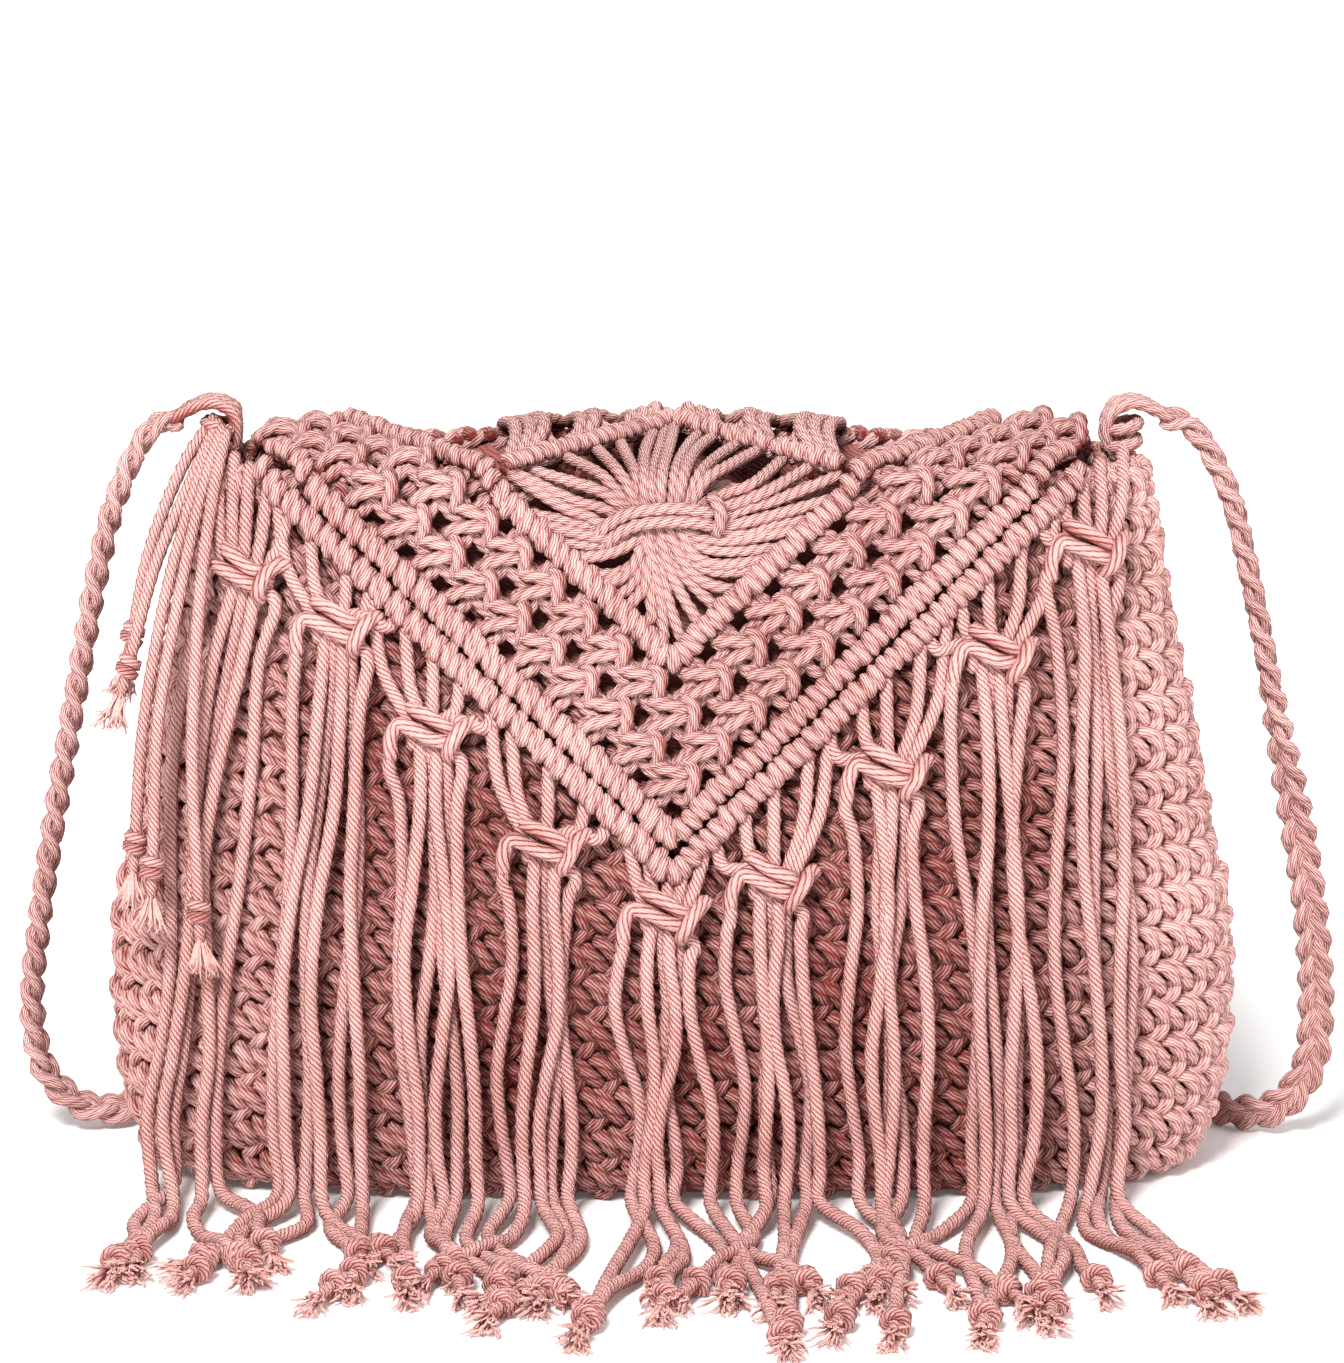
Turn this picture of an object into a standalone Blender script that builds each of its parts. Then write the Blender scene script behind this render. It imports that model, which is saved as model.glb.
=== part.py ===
"""A knotted and crocheted cotton cord crossbody bag: pouch, knotted flap, fringe, corner tassel and braided strap.

Metres, +Z up. The front faces -Y, +X is to the right of someone who looks at the front, and the origin is the
centre of the pouch's flat base.
"""

import math

import bmesh
import bpy
from mathutils import Vector

# The pouch.
POUCH_HALF_WIDTH = 0.140
POUCH_HALF_DEPTH = 0.046
POUCH_HEIGHT = 0.184
WALL = 0.0065
FLOOR_WALL = 0.0065
ROWS = 19
RIB_DEPTH = 0.0012
MOUTH_DROP = 0.0085
RIM_ROUND = 0.0030
POUCH_COLUMNS = 40
INNER_LEVELS = (0.97, 0.80, 0.60, 0.40, 0.22, 0.11)

# The flap: its lines are drawn on the pouch's front as seen from in front, and run on over the mouth.
GAP = 0.0003
FLAP_GAP = 0.0007
FLAP_SHEET = 0.0040
FLAP_TIP_HEIGHT = 0.0935
FLAP_SLOPE = 0.94
NET_BAND = 0.0440
DIAMOND_SIDE = 0.0880
RIDGE_RADIUS = 0.0031
RIDGE_STEP = 0.0080
FOLD_CLEAR = 1.60
NET_CLEAR = 1.12
FOLD_RADIUS = 0.0042
RIM_GAP = 0.0014
BACK_OVERLAP = 0.0035
CORNER_CLEAR = 0.0100
FLAP_HALF_WIDTH = 0.1085

# The net and the loops over the mouth, in flap coordinates.
NET_BORDER = 0.0015
NET_EDGE_HOLE = 0.0040
NET_KNOT = 0.0085
NET_HOLE = 0.0060
LOOP_HOLE = 0.0070
LOOP_BAR = 0.0100

# The gathered cords in the diamond, and the band round them. Each ring of the panel is a share of the diamond's
# size and a share of the cords' height.
MOTIF_RINGS = ((1.0, 0.75), (0.62, 1.0), (0.26, 1.0))
MOTIF_COLUMNS = 40
MOTIF_RIB = 0.0012
MOTIF_HEIGHT = 0.0036
MOTIF_DOME = 0.0034
BAND_LENGTH = 0.0270
BAND_RADIUS = 0.0030
BAND_POINTS = 7

# The cords and the strap.
CORD = 0.0040
STRAP_WIDTH = 0.0096
STRAP_POINTS = 50
LOCK_SIDES = 6
LOCK_RINGS = 7

# The fringe: the knots' half sizes, the levels of a lock's route down the pouch and its places over the floor,
# and the locks' own sizes.
FRINGE_KNOT_SIZE = (0.0080, 0.0042, 0.0040)
ROUTE_LEVELS = (1.0, 0.85, 0.62, 0.40, 0.16)
FLOOR_SHARES = (0.05, 0.5, 1.0)
ROUTE_DRIFT = 1.2
FLOOR_LOCK_HEIGHT = 0.0031
LOCK_LIFT = 0.0027
LOCK_TOP_OFFSET = 0.0044
LOCK_SPREAD = 0.85
OUTER_LOCK_REACH = 0.82
LOCK_HALF_WIDTH_TOP = 0.0032
LOCK_HALF_WIDTH_END = 0.0038
LOCK_HALF_THICKNESS = 0.0022

PINK = (0.620, 0.330, 0.300, 1.0)

# One row per level of the pouch: height as a share of POUCH_HEIGHT, half width as a share of POUCH_HALF_WIDTH,
# half depth as a share of POUCH_HALF_DEPTH, and the exponent of the rounded outline in plan.
LEVELS = [
    {"height": 0.000, "width": 0.885, "depth": 0.800, "power": 2.9},
    {"height": 0.015, "width": 0.925, "depth": 0.880, "power": 2.9},
    {"height": 0.050, "width": 0.960, "depth": 0.945, "power": 2.8},
    {"height": 0.110, "width": 0.985, "depth": 0.985, "power": 2.7},
    {"height": 0.220, "width": 1.000, "depth": 1.000, "power": 2.6},
    {"height": 0.360, "width": 0.996, "depth": 0.980, "power": 2.5},
    {"height": 0.500, "width": 0.957, "depth": 0.910, "power": 2.4},
    {"height": 0.640, "width": 0.925, "depth": 0.820, "power": 2.3},
    {"height": 0.780, "width": 0.887, "depth": 0.700, "power": 2.3},
    {"height": 0.950, "width": 0.847, "depth": 0.560, "power": 2.3},
    {"height": 1.000, "width": 0.830, "depth": 0.530, "power": 2.3},
]

# One row per ring of a fringe head: its place from the knot's foot (-1) over the knot to the ridge (1), its width
# as a share of the knot's or None for the ridge's own, and its depth as a share of the knot's.
HEAD_RINGS = [
    {"place": -1.0, "width": 0.75, "depth": 0.70},
    {"place": 0.0, "width": 1.00, "depth": 1.00},
    {"place": 0.35, "width": 0.75, "depth": 0.70},
    {"place": 1.0, "width": None, "depth": 0.55},
]

# One row per fringe group: place across as a share of FLAP_HALF_WIDTH, how far the knot hangs below the outer
# ridge, the half width that its cords cover at the ridge, where its locks meet the floor as a shift across,
# and how far forward of the pouch they lie.
FRINGE = [
    {"name": "fringe_1", "across": -0.945, "drop": 0.0230, "half": 0.0050, "spread": 0.0095,
     "shift": -0.0180, "reach": 0.058},
    {"name": "fringe_2", "across": -0.740, "drop": 0.0140, "half": 0.0100, "spread": 0.0130,
     "shift": -0.0040, "reach": 0.060},
    {"name": "fringe_3", "across": -0.530, "drop": 0.0170, "half": 0.0100, "spread": 0.0100,
     "shift": 0.0020, "reach": 0.066},
    {"name": "fringe_4", "across": -0.280, "drop": 0.0180, "half": 0.0100, "spread": 0.0070,
     "shift": -0.0020, "reach": 0.078},
    {"name": "fringe_5", "across": -0.015, "drop": 0.0070, "half": 0.0050, "spread": 0.0120,
     "shift": 0.0000, "reach": 0.088},
    {"name": "fringe_6", "across": 0.225, "drop": 0.0210, "half": 0.0100, "spread": 0.0115,
     "shift": 0.0040, "reach": 0.084},
    {"name": "fringe_7", "across": 0.480, "drop": 0.0210, "half": 0.0100, "spread": 0.0060,
     "shift": 0.0000, "reach": 0.082},
    {"name": "fringe_8", "across": 0.715, "drop": 0.0180, "half": 0.0100, "spread": 0.0095,
     "shift": 0.0030, "reach": 0.080},
    {"name": "fringe_9", "across": 0.925, "drop": 0.0150, "half": 0.0060, "spread": 0.0075,
     "shift": 0.0050, "reach": 0.074},
]

# The strap's route: from the left corner out and down to the floor, round behind the pouch, and up to the right.
STRAP_ROUTE = [
    (-0.1217, 0.0040, 0.1890),
    (-0.1300, 0.0045, 0.1855),
    (-0.1385, 0.0055, 0.1690),
    (-0.1440, 0.0070, 0.1490),
    (-0.1485, 0.0085, 0.1270),
    (-0.1535, 0.0100, 0.1020),
    (-0.1580, 0.0120, 0.0780),
    (-0.1620, 0.0150, 0.0550),
    (-0.1645, 0.0190, 0.0350),
    (-0.1625, 0.0220, 0.0180),
    (-0.1545, 0.0230, 0.0080),
    (-0.1450, 0.0260, 0.0050),
    (-0.1370, 0.0360, 0.0050),
    (-0.1320, 0.0520, 0.0050),
    (-0.1340, 0.0860, 0.0050),
    (-0.1390, 0.1400, 0.0050),
    (-0.1340, 0.1960, 0.0050),
    (-0.1110, 0.2340, 0.0050),
    (-0.0710, 0.2570, 0.0050),
    (-0.0240, 0.2640, 0.0050),
    (0.0250, 0.2610, 0.0050),
    (0.0710, 0.2560, 0.0050),
    (0.1100, 0.2320, 0.0050),
    (0.1340, 0.1940, 0.0050),
    (0.1390, 0.1380, 0.0050),
    (0.1340, 0.0840, 0.0050),
    (0.1320, 0.0500, 0.0050),
    (0.1380, 0.0340, 0.0050),
    (0.1470, 0.0230, 0.0050),
    (0.1570, 0.0180, 0.0085),
    (0.1640, 0.0160, 0.0200),
    (0.1650, 0.0150, 0.0380),
    (0.1630, 0.0130, 0.0590),
    (0.1590, 0.0110, 0.0820),
    (0.1540, 0.0090, 0.1050),
    (0.1490, 0.0070, 0.1290),
    (0.1440, 0.0050, 0.1510),
    (0.1385, 0.0045, 0.1710),
    (0.1298, 0.0040, 0.1860),
    (0.1217, 0.0040, 0.1895),
]

# The tassel at the left corner: the routes of its short and its long lock, from inside the corner knot down, and
# their half sizes.
TASSEL_SHORT_HALF = 0.0032
TASSEL_LONG_HALF = 0.0052
TASSEL_HALF_THICKNESS = 0.0024
TASSEL_SHORT = [
    (-0.1150, 0.0020, 0.1850),
    (-0.1220, -0.0060, 0.1730),
    (-0.1310, -0.0100, 0.1520),
    (-0.1365, -0.0115, 0.1280),
]
TASSEL_LONG = [
    (-0.1125, 0.0000, 0.1860),
    (-0.1160, -0.0130, 0.1790),
    (-0.1230, -0.0220, 0.1570),
    (-0.1295, -0.0290, 0.1320),
    (-0.1325, -0.0340, 0.1080),
    (-0.1330, -0.0390, 0.0820),
]

# The corner knots: their half sizes and their places.
CORNER_KNOT = (0.0065, 0.0075, 0.0075)
CORNER_X = 0.1125
CORNER_Y = 0.0040


def clear_scene():
    """Remove everything that a new file holds."""
    for thing in list(bpy.data.objects):
        bpy.data.objects.remove(thing, do_unlink=True)


def cotton(name, colour, roughness):
    """A matt cotton material."""
    material = bpy.data.materials.new(name)
    material.use_nodes = True
    shader = material.node_tree.nodes["Principled BSDF"]
    shader.inputs["Base Color"].default_value = colour
    shader.inputs["Roughness"].default_value = roughness
    shader.inputs["Metallic"].default_value = 0.0
    return material


def add_object(name, data, collection, shade=1.0):
    """Put mesh or curve data in the scene as a named piece with its own material."""
    thing = bpy.data.objects.new(name, data)
    colour = tuple(channel * shade for channel in PINK[:3]) + (1.0,)
    data.materials.append(cotton(name + "_cotton", colour, 0.85))
    collection.objects.link(thing)
    return thing


def as_cutter(thing):
    """Mark a helper solid as one that the finished bag doesn't show."""
    thing.hide_render = True
    thing.display_type = "WIRE"


def smooth_between(rows, key, share):
    """The value of one column of LEVELS at a height share, on a smooth curve through the rows."""
    last = len(rows) - 1
    index = next((i for i in range(last) if share <= rows[i + 1]["height"]), last - 1)
    low, high = rows[index], rows[index + 1]
    before, after = rows[max(index - 1, 0)], rows[min(index + 2, last)]
    span = high["height"] - low["height"]
    t = min(max((share - low["height"]) / span, 0.0), 1.0)
    start = (high[key] - before[key]) / (high["height"] - before["height"]) * span
    end = (after[key] - low[key]) / (after["height"] - low["height"]) * span
    return (
        (2 * t**3 - 3 * t**2 + 1) * low[key]
        + (t**3 - 2 * t**2 + t) * start
        + (3 * t**2 - 2 * t**3) * high[key]
        + (t**3 - t**2) * end
    )


def section(share):
    """Half width, half depth and exponent of the pouch at a height share."""
    share = min(max(share, 0.0), 1.0)
    return (
        POUCH_HALF_WIDTH * smooth_between(LEVELS, "width", share),
        POUCH_HALF_DEPTH * smooth_between(LEVELS, "depth", share),
        smooth_between(LEVELS, "power", share),
    )


def mouth_drop(y, share):
    """How much lower a level hangs at a depth: the mouth's front edge is lower than its back edge."""
    half_depth = POUCH_HALF_DEPTH * LEVELS[-1]["depth"]
    lean = min(max((half_depth - y) / (2 * half_depth), 0.0), 1.0)
    return MOUTH_DROP * lean * share**3


def mouth_height(y, share):
    """The height of a level of the pouch at a depth."""
    return POUCH_HEIGHT * share - mouth_drop(y, share)


def outline_point(share, angle, inward):
    """A point of the pouch's outline, moved inward by a wall or a rib."""
    half_width, half_depth, power = section(share)
    cosine, sine = math.cos(angle), math.sin(angle)
    x = (half_width - inward) * math.copysign(abs(cosine) ** (2 / power), cosine)
    y = (half_depth - inward) * math.copysign(abs(sine) ** (2 / power), sine)
    return x, y


def front_y(x, z):
    """How far the pouch's crest lies forward at a place of its front, as a positive depth."""
    share = z / POUCH_HEIGHT
    y = 0.0
    for _ in range(4):
        half_width, half_depth, power = section(share)
        across = min(abs(x) / half_width, 0.985)
        y = half_depth * (1 - across**power) ** (1 / power)
        share = (z + mouth_drop(-y, min(share, 1.0))) / POUCH_HEIGHT
    return y


def ring(mesh, share, inward):
    """A closed ring of the pouch's vertices at a height share."""
    made = []
    for column in range(POUCH_COLUMNS):
        angle = 2 * math.pi * column / POUCH_COLUMNS
        x, y = outline_point(share, angle, inward)
        made.append(mesh.verts.new((x, y, mouth_height(y, share))))
    return made


def bridge(mesh, low, high):
    """Join two rings of vertices with four-sided faces."""
    count = len(low)
    for i in range(count):
        j = (i + 1) % count
        mesh.faces.new((low[i], low[j], high[j], high[i]))


def make_pouch(collection):
    """The crocheted pouch: a hollow wall with a rib for each row, open at the mouth."""
    mesh = bmesh.new()
    rings = [ring(mesh, 0.0, 0.0)]
    for row in range(ROWS - 1):
        rings.append(ring(mesh, (row + 0.5) / ROWS, 0.0))
        rings.append(ring(mesh, (row + 1) / ROWS, RIB_DEPTH))
    rings.append(ring(mesh, 1.0 - RIM_ROUND / POUCH_HEIGHT, RIB_DEPTH))
    rings.append(ring(mesh, 1.0, RIM_ROUND))
    rings.append(ring(mesh, 1.0, WALL - RIM_ROUND / 3))
    floor_share = FLOOR_WALL / POUCH_HEIGHT
    for share in INNER_LEVELS:
        rings.append(ring(mesh, share, WALL))
    rings.append(ring(mesh, floor_share, WALL * 1.5))
    for low, high in zip(rings, rings[1:]):
        bridge(mesh, low, high)
    mesh.faces.new(list(reversed(rings[0])))
    mesh.faces.new(rings[-1])
    bmesh.ops.recalc_face_normals(mesh, faces=mesh.faces)
    data = bpy.data.meshes.new("pouch_body")
    mesh.to_mesh(data)
    mesh.free()
    return add_object("pouch_body", data, collection)


def mouth_y(x):
    """The half depth of the mouth's outer edge at a place across it."""
    half_width, half_depth, power = section(1.0)
    across = min(abs(x) / half_width, 0.985)
    return half_depth * (1 - across**power) ** (1 / power)


def fold_height(x):
    """Where the flap leaves the front wall and turns over the mouth."""
    return mouth_height(-mouth_y(x), 1.0) + RIM_GAP - FOLD_RADIUS


def flap_surface(x, q):
    """A point of the flap's underside: x across, q up the front and then back over the mouth."""
    fold = fold_height(x)
    if q <= fold:
        return Vector((x, -front_y(x, q) - FLAP_GAP, q))
    y_front = -front_y(x, fold) - FLAP_GAP
    turn = (q - fold) / FOLD_RADIUS
    quarter = math.pi / 2
    if turn < quarter:
        centre = Vector((x, y_front + FOLD_RADIUS, fold))
        return centre + Vector((0.0, -math.cos(turn), math.sin(turn))) * FOLD_RADIUS
    start = y_front + FOLD_RADIUS
    run = max(mouth_y(x) - start, POUCH_HALF_DEPTH * 0.2)
    rise = POUCH_HEIGHT + GAP - fold - FOLD_RADIUS
    back = (q - fold) - quarter * FOLD_RADIUS
    return Vector((x, start + back, fold + FOLD_RADIUS + rise * min(back / run, 1.0)))


def flap_point(x, q, lift):
    """A point that stands off the flap's underside by lift."""
    step = 0.0008
    along = flap_surface(x + step, q) - flap_surface(x - step, q)
    up = flap_surface(x, q + step) - flap_surface(x, q - step)
    return flap_surface(x, q) + along.cross(up).normalized() * lift


def flap_back(x):
    """The value of q at the back edge of the mouth."""
    fold = fold_height(x)
    across = front_y(x, fold) + FLAP_GAP - FOLD_RADIUS + mouth_y(x) - BACK_OVERLAP
    return fold + math.pi / 2 * FOLD_RADIUS + max(across, 0.0)


def from_lattice(u, v):
    """Flap coordinates x and q from lattice coordinates: u and v grow up along the right and the left arm."""
    return (u - v) / 2, FLAP_TIP_HEIGHT + FLAP_SLOPE * (u + v) / 2


def across_arm(width):
    """The lattice distance whose width across an arm is the one given."""
    return width * math.sqrt(1 + FLAP_SLOPE**2) / FLAP_SLOPE


def ridge_clear():
    """The lattice distance from a ridge's line to what lies beside it."""
    return across_arm(RIDGE_RADIUS + GAP)


def arm_line(inset, x_from, x_to, step):
    """Points (x, q) along the V whose lattice distance from the second ridge is inset."""
    count = max(2, math.ceil(abs(x_to - x_from) / step))
    line = []
    for i in range(count + 1):
        x = x_from + (x_to - x_from) * i / count
        line.append((x, FLAP_TIP_HEIGHT + FLAP_SLOPE * (inset + abs(x))))
    return line


def tube(name, points, radius, collection, resolution=2, shade=1.0):
    """A round bar along points, with filled ends."""
    curve = bpy.data.curves.new(name, "CURVE")
    curve.dimensions = "3D"
    curve.bevel_depth = radius
    curve.bevel_resolution = resolution
    curve.use_fill_caps = True
    curve.resolution_u = 1
    curve.render_resolution_u = 0
    spline = curve.splines.new("POLY")
    spline.points.add(len(points) - 1)
    for place, point in zip(spline.points, points):
        place.co = (point[0], point[1], point[2], 1.0)
    return add_object(name, curve, collection, shade)


def arm_end(inset):
    """The x at which a V reaches the flap's edge: its corner, or the back of the mouth."""
    x = FLAP_HALF_WIDTH - CORNER_CLEAR / 4
    while FLAP_TIP_HEIGHT + FLAP_SLOPE * (inset + x) > flap_edge(x) and x > 0:
        x -= 0.0005
    return x


def flap_edge(x):
    """The last value of q on the flap: the back of the mouth, and near the corners the fold."""
    if abs(x) < FLAP_HALF_WIDTH - CORNER_CLEAR:
        return flap_back(x)
    return fold_height(x) + FOLD_RADIUS


def make_ridges(collection):
    """The wrapped ridges: two along the flap's edge, one under the diamond and one over it."""
    lift = RIDGE_RADIUS + GAP
    step = across_arm(2 * RIDGE_RADIUS + GAP)
    for name, inset in (
        ("flap_ridge_outer", -step),
        ("flap_ridge_second", 0.0),
        ("flap_ridge_inner", NET_BAND),
    ):
        end = arm_end(inset)
        line = arm_line(inset, -end, 0.0, RIDGE_STEP)[:-1]
        tip = FLAP_TIP_HEIGHT + FLAP_SLOPE * inset
        line.append((0.0, tip + RIDGE_RADIUS * 0.3))
        line += [(-x, q) for x, q in reversed(line[:-1])]
        tube(name, [flap_point(x, q, lift) for x, q in line], RIDGE_RADIUS, collection, 1, 1.05)
    clear = across_arm(2 * RIDGE_RADIUS + GAP) * 1.05
    outer = NET_BAND + DIAMOND_SIDE
    count = math.ceil(DIAMOND_SIDE / RIDGE_STEP)
    left = []
    for i in range(count + 1):
        u = NET_BAND + clear + (outer - NET_BAND - clear) * i / count
        left.append(from_lattice(u, outer))
    arch = left + [(-x, q) for x, q in reversed(left[:-1])]
    tube("flap_ridge_arch", [flap_point(x, q, lift) for x, q in arch], RIDGE_RADIUS, collection, 1, 1.05)


def sheet(name, u_lines, v_lines, keep, collection):
    """A knotted sheet of the flap: the kept cells of a lattice, thickened off the pouch."""
    mesh = bmesh.new()
    corners = {}

    def corner(i, j):
        if (i, j) not in corners:
            x, q = from_lattice(u_lines[i], v_lines[j])
            limit = flap_back(min(abs(x), FLAP_HALF_WIDTH))
            corners[(i, j)] = mesh.verts.new(flap_point(x, min(q, limit), GAP))
        return corners[(i, j)]

    for i in range(len(u_lines) - 1):
        for j in range(len(v_lines) - 1):
            u = (u_lines[i] + u_lines[i + 1]) / 2
            v = (v_lines[j] + v_lines[j + 1]) / 2
            if keep(u, v):
                mesh.faces.new((corner(i, j), corner(i + 1, j), corner(i + 1, j + 1), corner(i, j + 1)))
    bmesh.ops.recalc_face_normals(mesh, faces=mesh.faces)
    data = bpy.data.meshes.new(name)
    mesh.to_mesh(data)
    mesh.free()
    thing = add_object(name, data, collection)
    wall = thing.modifiers.new("sheet", "SOLIDIFY")
    wall.thickness = FLAP_SHEET
    wall.offset = 1.0
    wall.use_even_offset = False
    return thing


def net_lines(last):
    """The lattice lines of the net, and the spans between them that are holes."""
    start = ridge_clear() * NET_CLEAR
    edge = NET_BAND - ridge_clear() * NET_CLEAR
    inner = edge - start - 2 * (NET_BORDER + NET_EDGE_HOLE + NET_KNOT)
    lines = [start, start + NET_BORDER, start + NET_BORDER + NET_EDGE_HOLE]
    lines += [lines[-1] + NET_KNOT, lines[-1] + NET_KNOT + inner]
    lines += [lines[-1] + NET_KNOT, lines[-1] + NET_KNOT + NET_EDGE_HOLE, edge]
    spans = [(lines[1], lines[2]), (lines[3], lines[4]), (lines[5], lines[6])]
    place = edge + NET_HOLE - NET_BORDER
    along = [(lines[5], place)]
    lines.append(place)
    while place < last:
        along.append((place + NET_KNOT, place + NET_KNOT + NET_HOLE))
        lines += list(along[-1])
        place = along[-1][1]
    return lines, spans, along, start, edge


def make_net(collection):
    """The open net between the second ridge and the inner one, with its diamond holes cut through."""
    last = 2 * FLAP_HALF_WIDTH
    lines, spans, along, start, edge = net_lines(last)

    def in_spans(value, wanted):
        return any(low < value < high for low, high in wanted)

    def keep(u, v):
        small, large = min(u, v), max(u, v)
        x, q = from_lattice(u, v)
        if not start < small < edge or abs(x) > FLAP_HALF_WIDTH - CORNER_CLEAR or q > flap_back(x):
            return False
        across_hole = in_spans(small, spans)
        along_hole = in_spans(large, spans if large < edge else along)
        near_top = q > flap_back(x) - 2 * NET_HOLE
        return not (across_hole and along_hole) or near_top

    sheet("flap_net", lines, lines, keep, collection)


def make_loops(name, side, collection):
    """The loops over one side of the mouth, between the arch and the back edge, with their gaps cut through."""
    outer = NET_BAND + DIAMOND_SIDE
    inner_edge = NET_BAND + ridge_clear() * FOLD_CLEAR
    arch_edge = outer + ridge_clear() * FOLD_CLEAR
    lines = [inner_edge]
    while lines[-1] + LOOP_BAR + LOOP_HOLE < outer - ridge_clear():
        lines += [lines[-1] + LOOP_BAR, lines[-1] + LOOP_BAR + LOOP_HOLE]
    holes = [(lines[i], lines[i + 1]) for i in range(1, len(lines) - 1, 2)]
    lines += [arch_edge, arch_edge + NET_BORDER * 2, arch_edge + NET_BORDER * 2 + LOOP_HOLE]
    along_holes = [(lines[-2], lines[-1])]
    while lines[-1] < outer + DIAMOND_SIDE:
        lines.append(lines[-1] + LOOP_BAR)

    def keep(u, v):
        small, large = min(u, v), max(u, v)
        x, q = from_lattice(u, v)
        if large < arch_edge or not inner_edge < small < outer:
            return False
        if x * side < 0 or q > flap_back(min(abs(x), FLAP_HALF_WIDTH)):
            return False
        hole = any(low < small < high for low, high in holes)
        hole = hole and any(low < large < high for low, high in along_holes)
        return not (hole and q < flap_back(x) - 2 * NET_HOLE)

    sheet(name, lines, lines, keep, collection)


def make_motif(collection):
    """The cords gathered across the diamond: a ribbed panel pinched at its middle."""
    middle_q = FLAP_TIP_HEIGHT + FLAP_SLOPE * (NET_BAND + DIAMOND_SIDE / 2)
    reach = DIAMOND_SIDE / 2 - ridge_clear()
    mesh = bmesh.new()
    tops, floors = [], []
    for share, height in MOTIF_RINGS:
        top, floor = [], []
        for column in range(MOTIF_COLUMNS):
            angle = 2 * math.pi * column / MOTIF_COLUMNS
            size = reach * share / (abs(math.cos(angle)) + abs(math.sin(angle)))
            x = math.cos(angle) * size
            q = middle_q + math.sin(angle) * size * FLAP_SLOPE
            rib = MOTIF_RIB * (column % 2)
            dome = GAP + MOTIF_DOME * (1 - share)
            top.append(mesh.verts.new(flap_point(x, q, dome + MOTIF_HEIGHT * height - rib)))
            floor.append(mesh.verts.new(flap_point(x, q, dome)))
        tops.append(top)
        floors.append(floor)
    for low, high in zip(tops, tops[1:]):
        bridge(mesh, low, high)
    for low, high in zip(floors, floors[1:]):
        bridge(mesh, high, low)
    bridge(mesh, floors[0], tops[0])
    mesh.faces.new(tops[-1])
    mesh.faces.new(list(reversed(floors[-1])))
    bmesh.ops.recalc_face_normals(mesh, faces=mesh.faces)
    data = bpy.data.meshes.new("motif_cords")
    mesh.to_mesh(data)
    mesh.free()
    add_object("motif_cords", data, collection)
    lift = GAP * 2 + MOTIF_DOME * (1 - MOTIF_RINGS[-1][0]) + MOTIF_HEIGHT + BAND_RADIUS
    line = []
    for i in range(BAND_POINTS):
        x = BAND_LENGTH * (i / (BAND_POINTS - 1) - 0.5)
        line.append(flap_point(x, middle_q, lift))
    tube("motif_band", line, BAND_RADIUS, collection, 2, 1.05)


def smooth_line(route, count):
    """Points evenly along a smooth curve through a route's own points."""
    points = [Vector(p) for p in route]
    fine = []
    for i in range(len(points) - 1):
        before = points[max(i - 1, 0)]
        after = points[min(i + 2, len(points) - 1)]
        a, b = points[i], points[i + 1]
        start, end = (b - before) / 2, (after - a) / 2
        for k in range(12):
            t = k / 12
            fine.append(
                (2 * t**3 - 3 * t**2 + 1) * a
                + (t**3 - 2 * t**2 + t) * start
                + (3 * t**2 - 2 * t**3) * b
                + (t**3 - t**2) * end
            )
    fine.append(points[-1])
    along = [0.0]
    for a, b in zip(fine, fine[1:]):
        along.append(along[-1] + (b - a).length)
    made = []
    index = 0
    for k in range(count):
        target = along[-1] * k / (count - 1)
        while index < len(fine) - 2 and along[index + 1] < target:
            index += 1
        span = along[index + 1] - along[index]
        made.append(fine[index].lerp(fine[index + 1], (target - along[index]) / max(span, 1e-9)))
    return made


def lock_mesh(name, line, half_across, half_thick):
    """A closed lock of cords: an oval section carried along a line, one half size for each point."""
    mesh = bmesh.new()
    rings = []
    for i, point in enumerate(line):
        ahead = (line[min(i + 1, len(line) - 1)] - line[max(i - 1, 0)]).normalized()
        side = Vector((1.0, 0.0, 0.0))
        side = (side - ahead * side.dot(ahead)).normalized()
        up = side.cross(ahead)
        made = []
        for k in range(LOCK_SIDES):
            angle = 2 * math.pi * k / LOCK_SIDES
            place = point + side * math.cos(angle) * half_across[i] + up * math.sin(angle) * half_thick[i]
            made.append(mesh.verts.new(place))
        rings.append(made)
    for low, high in zip(rings, rings[1:]):
        bridge(mesh, low, high)
    mesh.faces.new(list(reversed(rings[0])))
    mesh.faces.new(rings[-1])
    bmesh.ops.recalc_face_normals(mesh, faces=mesh.faces)
    data = bpy.data.meshes.new(name)
    mesh.to_mesh(data)
    mesh.free()
    return data


def fuse(thing, others):
    """Join helper solids to a piece as one body."""
    for other in others:
        as_cutter(other)
        union = thing.modifiers.new("fuse_" + other.name, "BOOLEAN")
        union.operation = "UNION"
        union.object = other


def outer_ridge_q(x):
    """The height of the outer ridge's lower side at a place across the flap."""
    step = across_arm(2 * RIDGE_RADIUS + GAP)
    tip = FLAP_TIP_HEIGHT - FLAP_SLOPE * (step + ridge_clear())
    return tip + FLAP_SLOPE * abs(x)


def front_route(x_top, q_top, x_floor, reach):
    """A lock's route from its knot down the pouch's front and forward over the floor."""
    route = []
    forward = 0.0
    for level in ROUTE_LEVELS:
        x = x_top + (x_floor - x_top) * (1 - level) ** ROUTE_DRIFT
        z = FLOOR_LOCK_HEIGHT + (q_top - FLOOR_LOCK_HEIGHT) * level
        place = flap_point(x, z, LOCK_LIFT + CORD * (1 - level))
        forward = min(place.y, forward)
        route.append((place.x, forward, z))
    start = forward - 2 * CORD
    for share in FLOOR_SHARES:
        route.append((x_floor, start - reach * share, FLOOR_LOCK_HEIGHT))
    return route


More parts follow.
